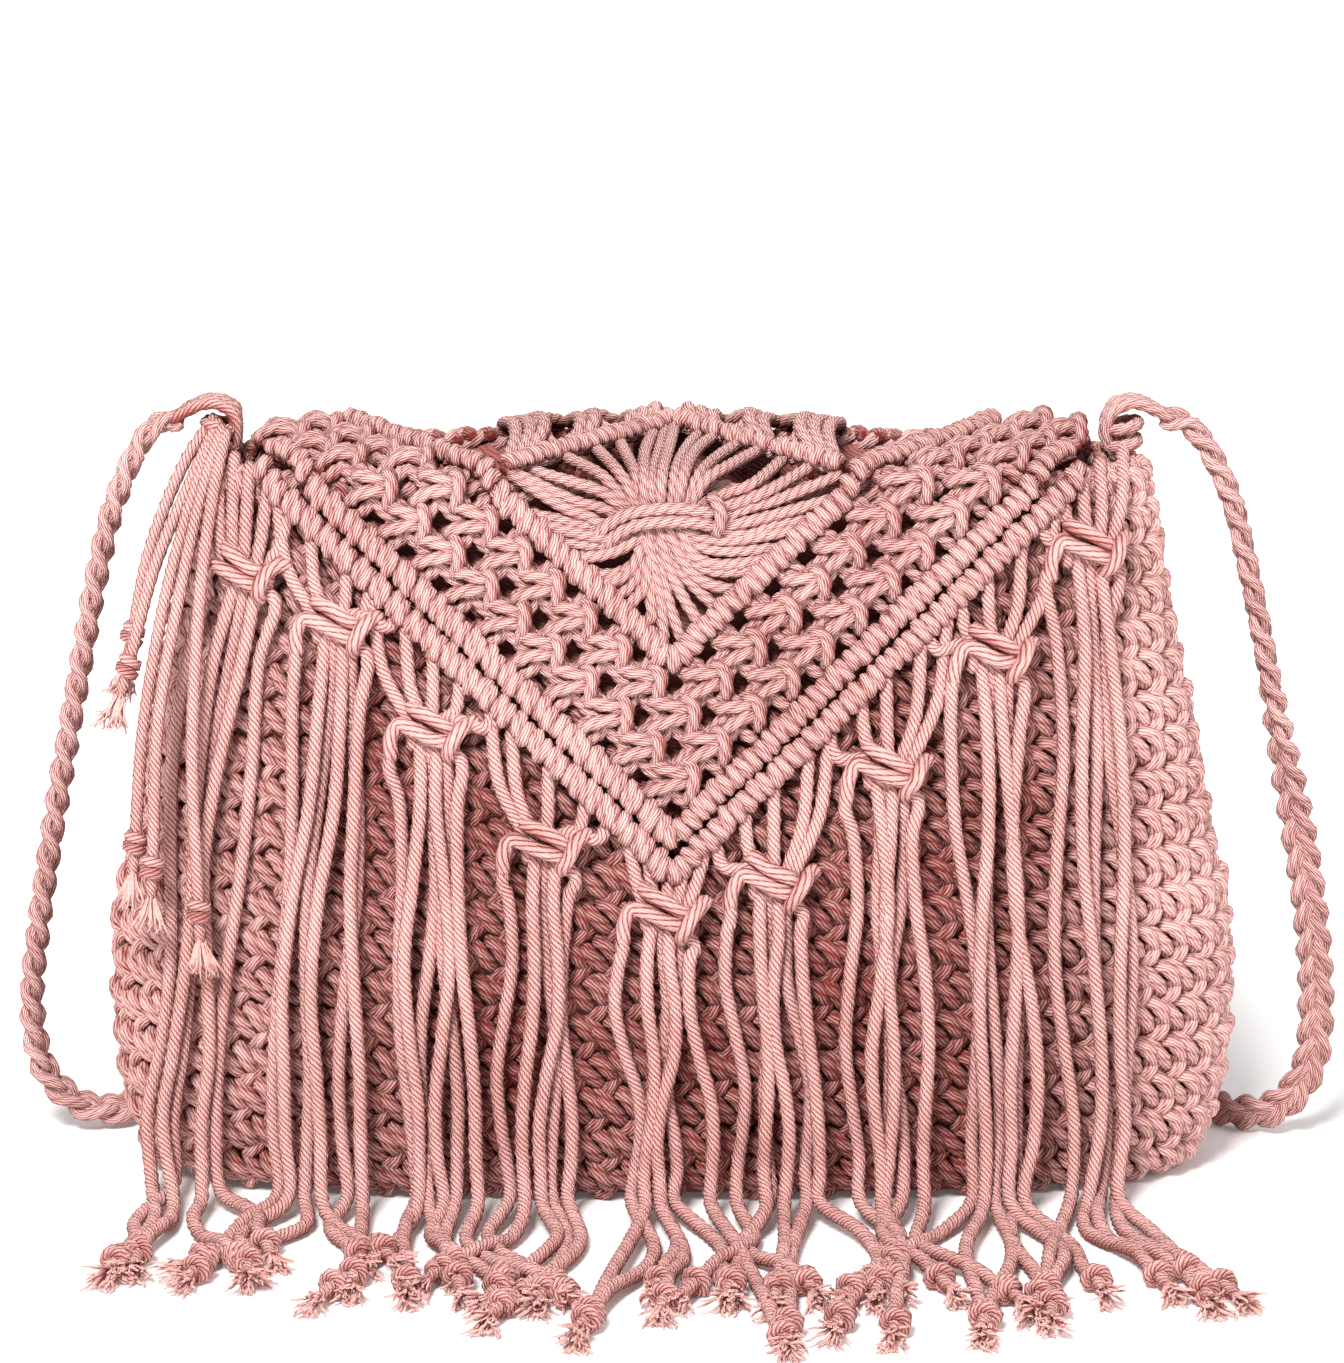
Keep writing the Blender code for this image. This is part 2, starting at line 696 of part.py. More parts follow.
def make_head(row, x_knot, q_knot):
    """The closed fan of cords from the ridge into a fringe knot, and the knot."""
    half_x, half_y, half_z = FRINGE_KNOT_SIZE
    mesh = bmesh.new()
    rings = []
    for level in HEAD_RINGS:
        half = row["half"] if level["width"] is None else half_x * level["width"]
        rise, fall = max(level["place"], 0.0), min(level["place"], 0.0)
        made = []
        for k in range(LOCK_SIDES):
            angle = 2 * math.pi * (k + 0.5) / LOCK_SIDES
            x = x_knot + math.cos(angle) * half
            q = q_knot * (1 - rise) + outer_ridge_q(x) * rise + fall * half_z
            lift = GAP + half_y * level["depth"] * (1 + math.sin(angle))
            made.append(mesh.verts.new(flap_point(x, q, lift)))
        rings.append(made)
    for low, high in zip(rings, rings[1:]):
        bridge(mesh, low, high)
    mesh.faces.new(list(reversed(rings[0])))
    mesh.faces.new(rings[-1])
    bmesh.ops.recalc_face_normals(mesh, faces=mesh.faces)
    data = bpy.data.meshes.new(row["name"])
    mesh.to_mesh(data)
    mesh.free()
    return data


def make_fringe(row, collection, helpers):
    """One knot of the fringe with the cords that run into it and its hanging locks."""
    x = row["across"] * FLAP_HALF_WIDTH
    q = outer_ridge_q(x) - row["drop"]
    thing = add_object(row["name"], make_head(row, x, q), collection)
    grow = (LOCK_HALF_WIDTH_END - LOCK_HALF_WIDTH_TOP) / (LOCK_RINGS - 1)
    wide = [LOCK_HALF_WIDTH_TOP + grow * i for i in range(LOCK_RINGS)]
    deep = [LOCK_HALF_THICKNESS] * LOCK_RINGS
    locks = []
    for side in (-1, 0, 1):
        x_floor = x + row["shift"] + side * row["spread"] * LOCK_SPREAD
        reach = row["reach"] * (OUTER_LOCK_REACH if side else 1.0)
        route = front_route(x + side * LOCK_TOP_OFFSET, q, x_floor, reach)
        name = f"{row['name']}_lock_{side + 1}"
        data = lock_mesh(name, smooth_line(route, LOCK_RINGS), wide, deep)
        locks.append(add_object(name, data, helpers))
    fuse(thing, locks)


def rounded(name, centre, half_sizes, collection, segments=10, rings=6):
    """A rounded knot: a squashed ball."""
    mesh = bmesh.new()
    bmesh.ops.create_uvsphere(mesh, u_segments=segments, v_segments=rings, radius=1.0)
    bmesh.ops.scale(mesh, vec=Vector(half_sizes), verts=mesh.verts)
    bmesh.ops.translate(mesh, vec=Vector(centre), verts=mesh.verts)
    data = bpy.data.meshes.new(name)
    mesh.to_mesh(data)
    mesh.free()
    return add_object(name, data, collection)


def make_corners(collection, helpers):
    """The knots that hold the strap at the two corners; the tassel hangs from the left one."""
    height = mouth_height(CORNER_Y, 1.0) + GAP + CORNER_KNOT[2]
    left = rounded("corner_tassel", (-CORNER_X, CORNER_Y, height), CORNER_KNOT, collection)
    rounded("corner_knot", (CORNER_X, CORNER_Y, height), CORNER_KNOT, collection)
    locks = []
    for name, route, half in (
        ("tassel_short", TASSEL_SHORT, TASSEL_SHORT_HALF),
        ("tassel_long", TASSEL_LONG, TASSEL_LONG_HALF),
    ):
        line = smooth_line(route, LOCK_RINGS)
        data = lock_mesh(name, line, [half] * LOCK_RINGS, [TASSEL_HALF_THICKNESS] * LOCK_RINGS)
        locks.append(add_object(name, data, helpers))
    fuse(left, locks)


def make_strap(collection):
    """The braided strap, whole, from corner to corner."""
    tube("strap", smooth_line(STRAP_ROUTE, STRAP_POINTS), STRAP_WIDTH / 2, collection)


def main():
    """Build every piece of the bag."""
    clear_scene()
    bag = bpy.data.collections.new("cord_crossbody_bag")
    helpers = bpy.data.collections.new("helpers")
    bpy.context.scene.collection.children.link(bag)
    bpy.context.scene.collection.children.link(helpers)
    make_pouch(bag)
    make_net(bag)
    make_loops("flap_loops_left", -1, bag)
    make_loops("flap_loops_right", 1, bag)
    make_ridges(bag)
    make_motif(bag)
    for row in FRINGE:
        make_fringe(row, bag, helpers)
    make_corners(bag, helpers)
    make_strap(bag)


main()
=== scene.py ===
"""Looks of a crossbody bag that is crocheted and knotted from twisted cotton cord.

Metres, +Z up. The front faces -Y and +X is to the right of someone who looks at the front.
"""

import logging
import math
import random
from dataclasses import dataclass
from enum import Enum
from functools import lru_cache

import bmesh
import bpy
import numpy as np
from mathutils import Euler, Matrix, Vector


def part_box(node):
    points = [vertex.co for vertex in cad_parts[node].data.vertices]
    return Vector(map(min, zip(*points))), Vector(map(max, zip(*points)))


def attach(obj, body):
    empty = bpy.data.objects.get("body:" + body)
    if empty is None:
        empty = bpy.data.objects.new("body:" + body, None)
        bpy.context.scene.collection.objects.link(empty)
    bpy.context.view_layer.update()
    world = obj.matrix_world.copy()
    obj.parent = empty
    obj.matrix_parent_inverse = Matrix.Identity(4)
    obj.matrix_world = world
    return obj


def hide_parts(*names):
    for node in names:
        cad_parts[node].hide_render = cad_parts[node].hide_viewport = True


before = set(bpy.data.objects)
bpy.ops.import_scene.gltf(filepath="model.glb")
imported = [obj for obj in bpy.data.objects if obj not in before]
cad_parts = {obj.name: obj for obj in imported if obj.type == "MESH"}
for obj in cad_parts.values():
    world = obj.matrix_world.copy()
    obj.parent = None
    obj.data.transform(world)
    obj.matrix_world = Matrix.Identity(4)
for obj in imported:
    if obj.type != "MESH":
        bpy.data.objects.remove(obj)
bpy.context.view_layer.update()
ROOT = "root"
MM = 0.001
FINE_STEPS = 10
log = logging.getLogger("cord_bag")



def curve(t: object, low: object, high: object, start: object, end: object) -> object:
    """A smooth curve between two values, for single numbers and for arrays.

    Args:
        t: the place on the way, from 0 to 1.
        low: the value at 0.
        high: the value at 1.
        start: the slope at 0.
        end: the slope at 1.

    Returns:
        The curve's value at t.
    """
    return (
        (2 * t**3 - 3 * t**2 + 1) * low
        + (t**3 - 2 * t**2 + t) * start
        + (3 * t**2 - 2 * t**3) * high
        + (t**3 - t**2) * end
    )


def unit_rows(rows: np.ndarray) -> np.ndarray:
    """The rows scaled to length 1."""
    return rows / np.maximum(np.linalg.norm(rows, axis=1), 1e-9)[:, None]


def walked(points: np.ndarray) -> np.ndarray:
    """How far the way through the points has come at each of them."""
    return np.concatenate([[0.0], np.cumsum(np.linalg.norm(np.diff(points, axis=0), axis=1))])


def set_inputs(node: bpy.types.Node, values: dict[str, object]) -> None:
    """Set a node's inputs by their names."""
    for name, value in values.items():
        node.inputs[name].default_value = value


@dataclass(frozen=True)
class PouchForm:
    """The outer form of the pouch: its outline at each level and the tilt of its mouth."""

    half_width: float = 0.140
    half_depth: float = 0.046
    height: float = 0.184
    mouth_drop: float = 0.0085
    wall: float = 0.0065
    rows: int = 19
    widest_share: float = 0.985
    levels: tuple[tuple[float, float, float, float], ...] = (
        (0.000, 0.885, 0.800, 2.9),
        (0.015, 0.925, 0.880, 2.9),
        (0.050, 0.960, 0.945, 2.8),
        (0.110, 0.985, 0.985, 2.7),
        (0.220, 1.000, 1.000, 2.6),
        (0.360, 0.996, 0.980, 2.5),
        (0.500, 0.957, 0.910, 2.4),
        (0.640, 0.925, 0.820, 2.3),
        (0.780, 0.887, 0.700, 2.3),
        (0.950, 0.847, 0.560, 2.3),
        (1.000, 0.830, 0.530, 2.3),
    )

    def column(self, key: int, share: float) -> float:
        """One column of the levels, on a smooth curve through their rows.

        Args:
            key: the column, from 1 for width to 3 for the outline's exponent.
            share: the height as a share of the pouch's height.

        Returns:
            The column's value there.
        """
        rows = self.levels
        last = len(rows) - 1
        index = next((i for i in range(last) if share <= rows[i + 1][0]), last - 1)
        low, high = rows[index], rows[index + 1]
        before, after = rows[max(index - 1, 0)], rows[min(index + 2, last)]
        span = high[0] - low[0]
        t = min(max((share - low[0]) / span, 0.0), 1.0)
        start = (high[key] - before[key]) / (high[0] - before[0]) * span
        end = (after[key] - low[key]) / (after[0] - low[0]) * span
        return curve(t, low[key], high[key], start, end)

    @lru_cache(maxsize=20000)
    def section(self, share: float) -> tuple[float, float, float]:
        """The outline's measures at one height.

        Args:
            share: the height as a share of the pouch's height.

        Returns:
            The half width, the half depth and the outline's exponent.
        """
        share = min(max(share, 0.0), 1.0)
        return (
            self.half_width * self.column(1, share),
            self.half_depth * self.column(2, share),
            self.column(3, share),
        )

    def drop(self, y: float, share: float) -> float:
        """How much lower a level hangs towards the front, because the mouth leans forward.

        Args:
            y: the place from front to back.
            share: the height as a share of the pouch's height.

        Returns:
            The drop.
        """
        half_depth = self.half_depth * self.levels[-1][2]
        lean = min(max((half_depth - y) / (2 * half_depth), 0.0), 1.0)
        return self.mouth_drop * lean * share**3

    def outline(self, share: float, angle: float, inward: float = 0.0) -> Vector:
        """A point of the outline.

        Args:
            share: the height as a share of the pouch's height.
            angle: the direction of the point, from +X towards the back.
            inward: how far it is moved inward.

        Returns:
            The point.
        """
        half_width, half_depth, power = self.section(share)
        cosine, sine = math.cos(angle), math.sin(angle)
        x = (half_width - inward) * math.copysign(abs(cosine) ** (2 / power), cosine)
        y = (half_depth - inward) * math.copysign(abs(sine) ** (2 / power), sine)
        return Vector((x, y, self.height * share - self.drop(y, share)))

    def bulge(self, x: float, share: float) -> float:
        """The half depth of the outline at a place across it.

        Args:
            x: the place across.
            share: the height as a share of the pouch's height.

        Returns:
            The half depth there.
        """
        half_width, half_depth, power = self.section(share)
        across = min(abs(x) / half_width, self.widest_share)
        return half_depth * (1 - across**power) ** (1 / power)

    def front(self, x: float, z: float) -> float:
        """How far the pouch lies forward at a place of its front.

        Args:
            x: the place across.
            z: the height, with the mouth's lean in it.

        Returns:
            The positive depth.
        """
        share = z / self.height
        y = 0.0
        for _ in range(4):
            y = self.bulge(x, share)
            share = (z + self.drop(-y, min(share, 1.0))) / self.height
        return y

    def mouth(self, x: float) -> float:
        """The half depth of the mouth at a place across it."""
        return self.bulge(x, 1.0)


@dataclass(frozen=True)
class FlapForm:
    """The flap's lines: x across, q up the pouch's front and then back over the mouth."""

    pouch: PouchForm = PouchForm()
    gap: float = 0.0003
    stand_off: float = 0.0007
    tip: float = 0.0935
    slope: float = 0.94
    net_band: float = 0.0440
    diamond: float = 0.0880
    ridge_radius: float = 0.0031
    fold_radius: float = 0.0042
    rim_gap: float = 0.0014
    back_overlap: float = 0.0035
    half_width: float = 0.1085
    corner_clear: float = 0.0100
    frame_step: float = 0.0012
    search_step: float = 0.0005
    place_digits: int = 5

    def fold(self, x: float) -> float:
        """Where the flap leaves the front wall and turns over the mouth."""
        y = self.pouch.mouth(x)
        return self.pouch.height - self.pouch.drop(-y, 1.0) + self.rim_gap - self.fold_radius

    def surface(self, x: float, q: float) -> Vector:
        """A point of the flap's underside.

        Args:
            x: the place across the flap.
            q: the place up the flap.

        Returns:
            The point.
        """
        fold = self.fold(x)
        if q <= fold:
            return Vector((x, -self.pouch.front(x, q) - self.stand_off, q))
        y_front = -self.pouch.front(x, fold) - self.stand_off
        turn = (q - fold) / self.fold_radius
        quarter = math.pi / 2
        if turn < quarter:
            centre = Vector((x, y_front + self.fold_radius, fold))
            return centre + Vector((0.0, -math.cos(turn), math.sin(turn))) * self.fold_radius
        start = y_front + self.fold_radius
        run = max(self.pouch.mouth(x) - start, self.pouch.half_depth * 0.2)
        rise = self.pouch.height + self.gap - fold - self.fold_radius
        back = (q - fold) - quarter * self.fold_radius
        height = fold + self.fold_radius + rise * min(back / run, 1.0)
        return Vector((x, start + back, height))

    @lru_cache(maxsize=60000)
    def rounded_frame(self, x: float, q: float) -> tuple[Vector, Vector, Vector, Vector]:
        """A rounded place on the flap with its directions.

        Args:
            x: the place across the flap.
            q: the place up the flap.

        Returns:
            The point, the unit directions across, up and outwards there.
        """
        step = self.frame_step
        across = self.surface(x + step, q) - self.surface(x - step, q)
        up = self.surface(x, q + step) - self.surface(x, q - step)
        out = across.cross(up).normalized()
        return self.surface(x, q), across.normalized(), up.normalized(), out

    def frame_at(self, x: float, q: float) -> tuple[Vector, Vector, Vector, Vector]:
        """The point at a place, and the unit directions across, up and outwards there."""
        return self.rounded_frame(round(x, self.place_digits), round(q, self.place_digits))

    def place(self, x: float, q: float, lift: float) -> Vector:
        """A point that stands off the flap's underside by lift."""
        point, _, _, out = self.frame_at(x, q)
        return point + out * lift

    def back(self, x: float) -> float:
        """The value of q at the back edge of the mouth."""
        fold = self.fold(x)
        depth = self.pouch.front(x, fold) + self.stand_off - self.fold_radius
        run = depth + self.pouch.mouth(x) - self.back_overlap
        return fold + math.pi / 2 * self.fold_radius + max(run, 0.0)

    def edge(self, x: float) -> float:
        """The last value of q on the flap: the back of the mouth, and near the corners the fold."""
        if abs(x) < self.half_width - self.corner_clear:
            return self.back(x)
        return self.fold(x) + self.fold_radius

    def lattice(self, u: float, v: float) -> tuple[float, float]:
        """Flap coordinates from distances along the right and the left arm of the V."""
        return (u - v) / 2, self.tip + self.slope * (u + v) / 2

    def across_arm(self, width: float) -> float:
        """The lattice distance whose width across an arm is the one given."""
        return width * math.sqrt(1 + self.slope**2) / self.slope

    def ridge_step(self) -> float:
        """The lattice distance between the two ridges of the flap's edge."""
        return self.across_arm(2 * self.ridge_radius + self.gap)

    def arm_q(self, x: float, inset: float) -> float:
        """The height of a V at a place across the flap."""
        return self.tip + self.slope * (inset + abs(x))

    def arm_end(self, inset: float) -> float:
        """The x at which a V reaches the flap's edge."""
        x = self.half_width - self.corner_clear / 4
        while self.arm_q(x, inset) > self.edge(x) and x > 0:
            x -= self.search_step
        return x

    def lower_edge(self, x: float) -> float:
        """The height of the outer ridge's lower side at a place across the flap."""
        clear = self.across_arm(self.ridge_radius + self.gap)
        return self.tip - self.slope * (self.ridge_step() + clear) + self.slope * abs(x)


POUCH = PouchForm()
FLAP = FlapForm()


@dataclass(frozen=True)
class Cotton:
    """A dyed cotton finish: its lit colour, the colour of its painted shade and darker dye, and how its
    twist and fibres show.
    """

    name: str
    lit: tuple[float, float, float]
    # The colour that painted shade and darker patches of dye lean towards.
    shade_and_dye: tuple[float, float, float]
    plies: float = 3.0
    # Painted shade strengths: in the grooves between plies, in the gaps between yarns, which are also sunk
    # as relief, and from the cords' painted shade attribute.
    groove: float = 0.55
    yarns: float = 15.0
    yarn_depth: float = 0.55
    recess: float = 0.5
    fluff: float = 0.45

    def material(self) -> bpy.types.Material:
        """The finish as a material, made once."""
        made = bpy.data.materials.get(self.name)
        if made:
            return made
        made = bpy.data.materials.new(self.name)
        made.use_nodes = True
        nodes, links = made.node_tree.nodes, made.node_tree.links
        shader = nodes["Principled BSDF"]
        set_inputs(
            shader,
            {"Roughness": 0.92, "Specular IOR Level": 0.05, "Sheen Weight": 0.06, "Sheen Roughness": 0.55},
        )
        uv = nodes.new("ShaderNodeUVMap")
        uv.uv_map = CordWork.UV_NAME
        place = nodes.new("ShaderNodeTexCoord")
        # The cords' painted shade attribute.
        shade_paint = nodes.new("ShaderNodeAttribute")
        shade_paint.attribute_name = CordWork.PAINTED_SHADE_NAME
        twist = nodes.new("ShaderNodeGroup")
        twist.node_tree = twist_group()
        set_inputs(
            twist,
            {
                "Plies": self.plies,
                "Yarns": self.yarns,
                "Yarn depth": self.yarn_depth,
                "Fluff": self.fluff,
                "Recess depth": self.recess,
                "Groove": self.groove,
            },
        )
        # The colour goes from lit to the painted shade colour where the painted shade and darker dye call
        # for it.
        blend = nodes.new("ShaderNodeMix")
        blend.data_type = "RGBA"
        set_inputs(blend, {"A": (*self.lit, 1.0), "B": (*self.shade_and_dye, 1.0)})
        bump = nodes.new("ShaderNodeBump")
        set_inputs(bump, {"Strength": 0.9, "Distance": 0.0005})
        for source, target in (
            (shade_paint.outputs["Fac"], twist.inputs["Recess"]),
            (uv.outputs["UV"], twist.inputs["Cord UV"]),
            (place.outputs["Object"], twist.inputs["Place"]),
            (twist.outputs["Shade"], blend.inputs["Factor"]),
            (blend.outputs["Result"], shader.inputs["Base Color"]),
            (twist.outputs["Height"], bump.inputs["Height"]),
            (bump.outputs["Normal"], shader.inputs["Normal"]),
        ):
            links.new(source, target)
        return made


def twist_group() -> bpy.types.NodeTree:
    """The twist of a cord as a node group: plies, yarns and fluff.

    Returns:
        The group. Shade is painted shade, darkest in the grooves between plies and yarns and where the
        cords' painted shade attribute is high, plus darker patches of dye; Height stands for the relief.
    """
    found = bpy.data.node_groups.get("cord_twist")
    if found:
        return found
    tree = bpy.data.node_groups.new("cord_twist", "ShaderNodeTree")
    for name, kind, value in (
        ("Cord UV", "NodeSocketVector", None),
        ("Place", "NodeSocketVector", None),
        ("Plies", "NodeSocketFloat", 3.0),
        ("Yarns", "NodeSocketFloat", 15.0),
        ("Yarn depth", "NodeSocketFloat", 0.35),
        ("Fluff", "NodeSocketFloat", 0.5),
        ("Groove", "NodeSocketFloat", 0.5),
        ("Recess", "NodeSocketFloat", 0.0),
        ("Recess depth", "NodeSocketFloat", 0.5),
    ):
        socket = tree.interface.new_socket(name=name, in_out="INPUT", socket_type=kind)
        if value is not None:
            socket.default_value = value
    tree.interface.new_socket(name="Shade", in_out="OUTPUT", socket_type="NodeSocketFloat")
    tree.interface.new_socket(name="Height", in_out="OUTPUT", socket_type="NodeSocketFloat")
    nodes, links = tree.nodes, tree.links
    start = nodes.new("NodeGroupInput")
    end = nodes.new("NodeGroupOutput")

    def join(value: object, socket: bpy.types.NodeSocket) -> None:
        """Link a socket or set a number."""
        if isinstance(value, bpy.types.NodeSocket):
            links.new(value, socket)
        else:
            socket.default_value = value

    def maths(kind: str, first: object, second: object = 0.0, clamp: bool = False) -> bpy.types.NodeSocket:
        """A math node on sockets or numbers, and its output."""
        node = nodes.new("ShaderNodeMath")
        node.operation = kind
        node.use_clamp = clamp
        join(first, node.inputs[0])
        join(second, node.inputs[1])
        return node.outputs[0]

    def noise(scale: float, detail: float) -> bpy.types.NodeSocket:
        """A noise that is fixed to the bag, and its output."""
        node = nodes.new("ShaderNodeTexNoise")
        set_inputs(node, {"Scale": scale, "Detail": detail})
        links.new(start.outputs["Place"], node.inputs["Vector"])
        return node.outputs["Fac"]

    split = nodes.new("ShaderNodeSeparateXYZ")
    links.new(start.outputs["Cord UV"], split.inputs[0])
    fluff, wobble, dye = noise(2600.0, 2.0), noise(420.0, 2.0), noise(38.0, 3.0)

    # Painted shade: the grooves between plies and the gaps between yarns are darkened, and the same masks
    # sink the relief.
    ply_turn = maths("MULTIPLY", start.outputs["Plies"], 2 * math.pi)
    ply_place = maths("ADD", split.outputs["X"], maths("MULTIPLY", wobble, 0.05))
    ply_wave = maths("COSINE", maths("ADD", maths("MULTIPLY", ply_place, ply_turn), math.pi))
    ply_groove = maths("MULTIPLY", maths("ADD", 1.0, ply_wave), 0.5)
    around = maths("ADD", split.outputs["X"], maths("MULTIPLY", split.outputs["Y"], 0.8))
    shaken = maths("ADD", around, maths("MULTIPLY", wobble, 0.10))
    yarn_turn = maths("MULTIPLY", shaken, maths("MULTIPLY", start.outputs["Yarns"], 2 * math.pi))
    yarn_wave = maths("MULTIPLY", maths("ADD", maths("SINE", yarn_turn), 1.0), 0.5)
    yarn_gap = maths("POWER", maths("SUBTRACT", 1.0, yarn_wave), 2.5)
    yarn_dip = maths("MULTIPLY", yarn_gap, start.outputs["Yarn depth"])
    fuzz = maths("MULTIPLY", maths("SUBTRACT", fluff, 0.5), start.outputs["Fluff"])
    sharp_groove = maths("POWER", ply_groove, 4.0)
    groove_shade = maths("MULTIPLY", sharp_groove, start.outputs["Groove"])
    dye_shade = maths("MULTIPLY", maths("SUBTRACT", dye, 0.42), 0.7)
    shade = maths("ADD", groove_shade, maths("MULTIPLY", yarn_dip, 0.85))
    shade = maths("ADD", shade, maths("MULTIPLY", fuzz, 0.5))
    # Painted shade from the cords' attribute.
    shade = maths("ADD", shade, maths("MULTIPLY", start.outputs["Recess"], start.outputs["Recess depth"]))
    shade = maths("ADD", shade, dye_shade, clamp=True)
    height = maths("SUBTRACT", fuzz, maths("MULTIPLY", yarn_dip, 1.1))
    height = maths("SUBTRACT", height, maths("MULTIPLY", sharp_groove, 0.7))
    links.new(shade, end.inputs["Shade"])
    links.new(height, end.inputs["Height"])
    return tree


class Finish(Enum):
    """The finishes of the bag's cords."""

    CROCHET = Cotton(
        "crochet_cotton", (0.86, 0.500, 0.462), (0.19, 0.028, 0.019), groove=0.30, yarns=13.0, recess=0.90
    )
    FLAP = Cotton(
        "flap_cotton", (0.81, 0.490, 0.460), (0.25, 0.048, 0.036), groove=0.36, yarn_depth=0.70, recess=0.90
    )
    FRINGE = Cotton(
        "fringe_cotton", (0.80, 0.455, 0.422), (0.25, 0.050, 0.038), 7.0, 0.72, yarn_depth=0.30, recess=0.85
    )
    STRAP = Cotton(
        "strap_cotton", (0.86, 0.520, 0.490), (0.26, 0.066, 0.055), 3.0, 0.30, 13.0, 0.70, recess=0.55
    )
    FRAY = Cotton(
        "frayed_cotton", (0.95, 0.560, 0.510), (0.62, 0.260, 0.225), 3.0, 0.05, 15.0, 0.05, 0.12, fluff=0.20
    )
    # Painted shade: the wall behind the stitches and the pouch's inside are the same cotton coloured darker,
    # so the gaps between stitches read as deep shade.
    INSIDE = Cotton(
        "inside_cotton", (0.40, 0.145, 0.125), (0.20, 0.045, 0.036), groove=0.20, yarn_depth=0.50, recess=0.0
    )


@dataclass(frozen=True)
class Twist:
    """How a cord is twisted.

    The lay is the length of one turn of its plies. The groove is the radius between two plies, as a share of
    the cord's radius.
    """

    lay: float = 0.0074
    groove: float = 0.76


def smooth_route(route: list, step: float) -> np.ndarray:
    """Points evenly along a smooth curve through a route's own points.

    Args:
        route: the route's points.
        step: the distance between the made points.

    Returns:
        The points, one row each.
    """
    points = np.array([tuple(p) for p in route], float)
    padded = np.vstack([2 * points[0] - points[1], points, 2 * points[-1] - points[-2]])
    t = np.linspace(0.0, 1.0, FINE_STEPS, endpoint=False)[:, None]
    pieces = []
    for i in range(len(points) - 1):
        before, a, b, after = padded[i : i + 4]
        pieces.append(curve(t, a, b, (b - before) / 2, (after - a) / 2))
    fine = np.vstack([*pieces, points[-1:]])
    along = walked(fine)
    count = max(3, int(round(along[-1] / step)) + 1)
    wanted = np.linspace(0.0, along[-1], count)
    return np.column_stack([np.interp(wanted, along, fine[:, axis]) for axis in range(3)])


